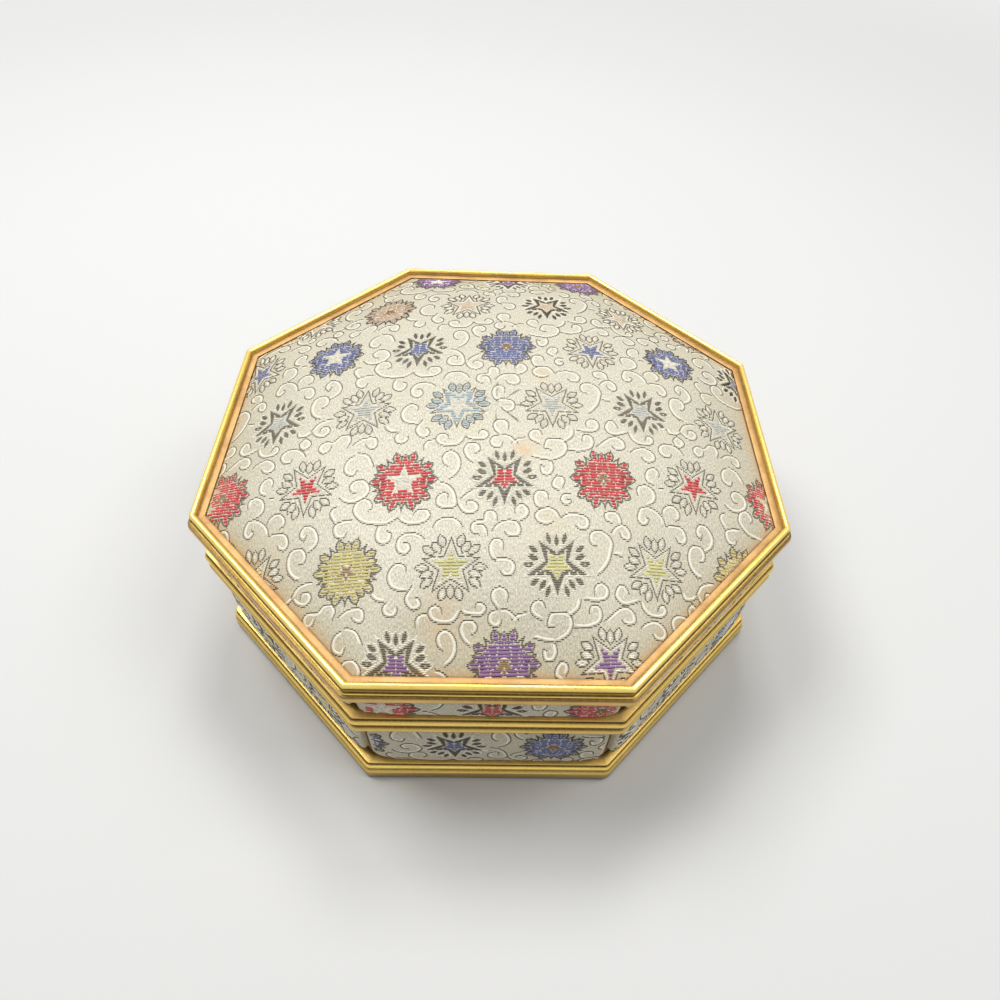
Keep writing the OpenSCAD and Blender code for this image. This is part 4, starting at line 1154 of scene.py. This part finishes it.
def mouldings(size):
    """Four brass mouldings, those at the parting notched for the hinge at the back."""
    for name, body, made in (
        ("lid_rim", "lid", rim_profile()), ("lid_lower_edge", "lid", lid_lower_profile()),
        ("base_upper_edge", "base", base_upper_profile()), ("base_foot", "base", foot_profile()),
    ):
        profile, worn, matt = made
        piece = moulding(name, body, profile, worn, matt, size, finish("lacquered_brass"))
        node = {"lid_rim": "lid_rim_moulding", "lid_lower_edge": "lid_lower_moulding",
                "base_upper_edge": "base_upper_moulding", "base_foot": "base_foot_moulding"}[name]
        if name == "base_upper_edge":
            cut_box(piece, (-19.15, 69.75, 32.675), (19.15, 79.0, 35.0))
        if name == "lid_lower_edge":
            cut_box(piece, (-19.15, 69.75, 32.0), (19.15, 79.0, 34.325))
        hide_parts(node)


def octagon_pad(name, body, node, apothem, flat_z, edge_z, crown_z, stuffing):
    """Crowned pad: rings of an octagon that rise by the pad's dome and its simulated stuffing, a rounded
    edge and a flat side on its card. With the crown below the flat side the pad hangs from the ceiling."""
    share = np.sin(np.linspace(0, 1, 48)[1:] * math.pi / 2)
    corner = np.minimum(apothem * share * (1 - share ** 2.2) + 1.0, apothem * share * 0.999)
    stations = np.linspace(0, 1, 24)[1:-1]
    rings = octagon_ring(np.append(apothem * share, [apothem] * 2), np.append(corner, [1.0] * 2), 7, stations)
    around = rings.shape[1]
    plan = np.concatenate([[[0.0, 0.0]], rings.reshape(-1, 2), [[0.0, 0.0]]])
    domed = 1 + len(share) * around
    hang = 1 if crown_z > flat_z else -1
    x, y = plan[:domed].T
    dome = np.concatenate([[1.0], np.repeat((1 - share ** 2) ** 0.7, around)])
    fade = np.concatenate([[1.0], np.repeat(1 - share ** 10, around)])
    top = edge_z + (crown_z - edge_z) * dome + hang * stuffing.at(x, y) * fade
    z = np.concatenate([top, np.full(around, (flat_z + edge_z) / 2), np.full(around, flat_z), [flat_z]])
    count = len(share) + 2
    faces = [grid_faces(count, around, closed=True, start=1)[:, ::-1], fan_faces(1 + np.arange(around), 0),
             fan_faces(1 + (count - 1) * around + np.arange(around), len(plan) - 1, flip=True)]
    piece = mesh_piece(name, np.column_stack([plan, z]), [f[:, ::hang] for f in faces], body, finish("lining_satin"), 50)
    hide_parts(node)


def wall_lining(name, body, node, size):
    """Satin drawn over a card band: the flat profile of the band with both edges rounded over."""
    low, high = frame_box(node)
    inner, outer = 68.2 - size["carcass"], high[0] - size["carcass"]
    face = np.stack([np.full(15, inner), np.linspace(low[2] + 0.45, high[2] - 0.45, 15)], -1)
    profile = np.concatenate([[(outer, low[2]), (inner + 0.3, low[2]), (inner + 0.08, low[2] + 0.14)], face,
                              [(inner + 0.08, high[2] - 0.14), (inner + 0.3, high[2]), (outer, high[2])]])
    piece = moulding(name, body, profile[::-1], np.ones(len(profile)), np.zeros(len(profile)), size, finish("lining_satin"))
    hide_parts(node)


def felt(size):
    """Felt under the floor: a thin octagon whose edge is a little soft."""
    low, high = frame_box("base_felt")
    edge = high[0]
    profile = np.array([(edge - 0.15, low[2]), (edge, low[2] + 0.2), (edge, high[2] - 0.15), (edge - 0.12, high[2])])
    rings = octagon_ring(profile[:, 0], np.full(4, 0.8), 4, np.linspace(0, 1, 12)[1:-1])
    around = rings.shape[1]
    plan = np.concatenate([rings.reshape(-1, 2), [[0.0, 0.0], [0.0, 0.0]]])
    z = np.concatenate([np.repeat(profile[:, 1], around), [low[2], high[2]]])
    faces = grid_faces(4, around, closed=True)
    under = fan_faces(np.arange(around), 4 * around, flip=True)
    top = fan_faces(3 * around + np.arange(around), 4 * around + 1)
    piece = mesh_piece("base_felt_sheet", np.column_stack([plan, z]), [faces, under, top], "base", finish("base_felt"), 60)
    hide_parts("base_felt")


def dress(node, material):
    """A CAD node keeps its shape and gets its material in every slot."""
    mesh = bpy.data.objects[node].data
    mesh.materials.clear()
    mesh.materials.append(material)


# Stage

def aim(place, target, roll=0.0):
    """A matrix for a camera or lamp that stands at a place and looks at a target."""
    back = (Vector(place) - Vector(target)).normalized()
    right = Vector((0, 0, 1)).cross(back).normalized()
    up = back.cross(right)
    c, s = math.cos(roll), math.sin(roll)
    right, up = right * c + up * s, up * c - right * s
    return Matrix((
        (right.x, up.x, back.x, place[0]), (right.y, up.y, back.y, place[1]),
        (right.z, up.z, back.z, place[2]), (0, 0, 0, 1)))


def lamp(name, place, target, width, depth, power):
    """Rectangular soft lamp."""
    light = bpy.data.lights.new(name, "AREA")
    light.shape, light.size, light.size_y, light.energy = "RECTANGLE", width, depth, power
    thing = bpy.data.objects.new(name, light)
    thing.matrix_world = aim(place, target)
    bpy.context.scene.collection.objects.link(thing)


def seen_directly(tree):
    """1 for rays that come from the camera, from metal or from glass, and 0 for the light of the scene."""
    path = tree.nodes.new("ShaderNodeLightPath")
    seen = path.outputs["Is Camera Ray"]
    for kind in ("Is Glossy Ray", "Is Transmission Ray"):
        either = tree.nodes.new("ShaderNodeMath")
        either.operation = "MAXIMUM"
        tree.links.new(seen, either.inputs[0])
        tree.links.new(path.outputs[kind], either.inputs[1])
        seen = either.outputs[0]
    return seen


def studio():
    """Pale floor that fades into pale surroundings, three soft lamps and the camera."""
    scene = bpy.context.scene
    surroundings = (0.86, 0.86, 0.85)
    edge = 3.0
    points = [(-edge, -edge, 0), (edge, -edge, 0), (edge, edge, 0), (-edge, edge, 0)]
    mesh = bpy.data.meshes.new("floor")
    mesh.from_pydata(points, [], [(0, 1, 2, 3)])
    material, shader, node, links = new_material("studio_floor")
    shader.inputs["Base Color"].default_value = (0.78, 0.78, 0.77, 1)
    shader.inputs["Roughness"].default_value = 0.75
    shader.inputs["Specular IOR Level"].default_value = 0.1
    reach = node("ShaderNodeVectorMath", {"operation": "LENGTH"}, _0=node("ShaderNodeTexCoord").outputs["Object"])
    far = node("ShaderNodeMapRange", {"interpolation_type": "SMOOTHSTEP"}, Value=reach.outputs["Value"], From_Min=0.25, From_Max=0.8)
    share = node("ShaderNodeMath", {"operation": "MULTIPLY"}, _0=far.outputs[0], _1=seen_directly(material.node_tree))
    glow = node("ShaderNodeEmission", Color=(*surroundings, 1))
    surface = node("ShaderNodeMixShader", _0=share.outputs[0], _1=shader.outputs[0], _2=glow.outputs[0])
    links.new(surface.outputs[0], material.node_tree.nodes["Material Output"].inputs["Surface"])
    mesh.materials.append(material)
    floor = bpy.data.objects.new("floor", mesh)
    scene.collection.objects.link(floor)
    world = bpy.data.worlds.new("studio")
    world.use_nodes = True
    tree = world.node_tree
    background = tree.nodes["Background"]
    background.inputs[0].default_value = (*surroundings, 1)
    strength = tree.nodes.new("ShaderNodeMapRange")
    strength.inputs["To Min"].default_value, strength.inputs["To Max"].default_value = 0.28, 1.0
    tree.links.new(seen_directly(tree), strength.inputs["Value"])
    tree.links.new(strength.outputs[0], background.inputs[1])
    scene.world = world
    lamp("key_lamp", (-0.42, 0.24, 0.85), (0, 0, 0.03), 0.45, 0.35, 4.9)
    lamp("fill_lamp", (0.5, 0.0, 0.82), (0, 0, 0.03), 0.45, 0.45, 2.7)
    lamp("back_lamp", (0.05, 0.42, 0.86), (0, 0, 0.05), 0.25, 0.25, 2.4)
    heading, height, roll = (math.radians(v) for v in (-2.98, 51.69, 3.63))
    target = Vector((0.0065, -0.0239, 0.0536))
    back = Vector((math.sin(heading) * math.cos(height), -math.cos(heading) * math.cos(height), math.sin(height)))
    view = bpy.data.cameras.new("camera")
    view.lens, view.sensor_width, view.shift_x, view.clip_start = 26.07, 36.0, -0.0198, 0.005
    camera = bpy.data.objects.new("camera", view)
    camera.matrix_world = aim(target + back * 0.1841, target, roll)
    scene.collection.objects.link(camera)
    scene.camera = camera
    scene.view_settings.view_transform = "Standard"


# Operators and sidebar

class BOX_OT_lid_cushion(bpy.types.Operator):
    """Make the domed lid cushion with its woven stars and scrolls"""

    bl_idname = "box.lid_cushion"
    bl_label = "Lid cushion"

    def execute(self, context):
        lid_cushion(sizes())
        return {"FINISHED"}


class BOX_OT_side_panels(bpy.types.Operator):
    """Make the sixteen padded side panels of base and lid"""

    bl_idname = "box.side_panels"
    bl_label = "Side panels"

    def execute(self, context):
        side_panels("base", sizes())
        side_panels("lid", sizes())
        return {"FINISHED"}


class BOX_OT_mouldings(bpy.types.Operator):
    """Make the rim, the two mouldings at the parting and the foot in brass"""

    bl_idname = "box.mouldings"
    bl_label = "Brass mouldings"

    def execute(self, context):
        mouldings(sizes())
        return {"FINISHED"}


class BOX_OT_lining(bpy.types.Operator):
    """Make the satin wall linings and the pads of floor and ceiling"""

    bl_idname = "box.lining"
    bl_label = "Satin lining"

    def execute(self, context):
        size = sizes()
        wall_lining("base_satin_wall", "base", "base_wall_lining", size)
        wall_lining("lid_satin_wall", "lid", "lid_wall_lining", size)
        stuffing = Stuffing(68.0, 6.1, 1.4, 4.9, 1.0, 0.8, 0.5)
        octagon_pad("base_satin_pad", "base", "base_floor_pad", 68.0, 4.9, 6.1, 7.5, stuffing)
        octagon_pad("lid_satin_pad", "lid", "lid_ceiling_pad", 68.0, 46.1, 44.9, 43.5, stuffing)
        return {"FINISHED"}


class BOX_OT_felt(bpy.types.Operator):
    """Make the felt under the base"""

    bl_idname = "box.felt"
    bl_label = "Base felt"

    def execute(self, context):
        felt(sizes())
        return {"FINISHED"}


class BOX_OT_carcass_finish(bpy.types.Operator):
    """Give the carcass boards, the pad cards and the hinge their finishes"""

    bl_idname = "box.carcass_finish"
    bl_label = "Carcass and hinge finishes"

    def execute(self, context):
        for node in ("base_floor_board", "base_wall", "lid_wall", "lid_top_board"):
            dress(node, finish("carcass_board"))
        for node in ("base_floor_card", "lid_ceiling_card"):
            dress(node, finish("pad_card"))
        for node in ("hinge_base_leaf", "hinge_base_screws", "hinge_pin", "hinge_lid_leaf", "hinge_lid_screws"):
            dress(node, finish("hinge_metal"))
        return {"FINISHED"}


class BOX_OT_studio(bpy.types.Operator):
    """Set up the pale floor, the soft lamps and the camera"""

    bl_idname = "box.studio"
    bl_label = "Studio"

    def execute(self, context):
        studio()
        return {"FINISHED"}


class BOX_PT_sidebar(bpy.types.Panel):
    """Sizes, colours and making steps of the keepsake box"""

    bl_idname = "BOX_PT_sidebar"
    bl_label = "Keepsake Box"
    bl_space_type = "VIEW_3D"
    bl_region_type = "UI"
    bl_category = "Keepsake Box"

    def draw(self, context):
        layout = self.layout
        for step in STEPS:
            layout.operator(step.bl_idname)
        for title, group in (("Sizes", context.scene.box_sizes), ("Colours", context.scene.box_colours)):
            box = layout.box()
            box.label(text=title)
            for name in type(group).__annotations__:
                box.prop(group, name)


STEPS = (BOX_OT_studio, BOX_OT_lid_cushion, BOX_OT_side_panels, BOX_OT_mouldings, BOX_OT_lining, BOX_OT_felt,
         BOX_OT_carcass_finish)
CLASSES = (BoxSizes, BoxColours, *STEPS, BOX_PT_sidebar)


def register():
    """Register the classes and hang the property groups on the scene."""
    for made in CLASSES:
        bpy.utils.register_class(made)
    bpy.types.Scene.box_sizes = PointerProperty(type=BoxSizes)
    bpy.types.Scene.box_colours = PointerProperty(type=BoxColours)


def unregister():
    """Take both property groups and the classes away again."""
    del bpy.types.Scene.box_colours, bpy.types.Scene.box_sizes
    for made in reversed(CLASSES):
        bpy.utils.unregister_class(made)


def main():
    """Make every piece in order."""
    register()
    for step in STEPS:
        group, name = step.bl_idname.split(".")
        getattr(getattr(bpy.ops, group), name)()


if __name__ == "__main__":
    main()
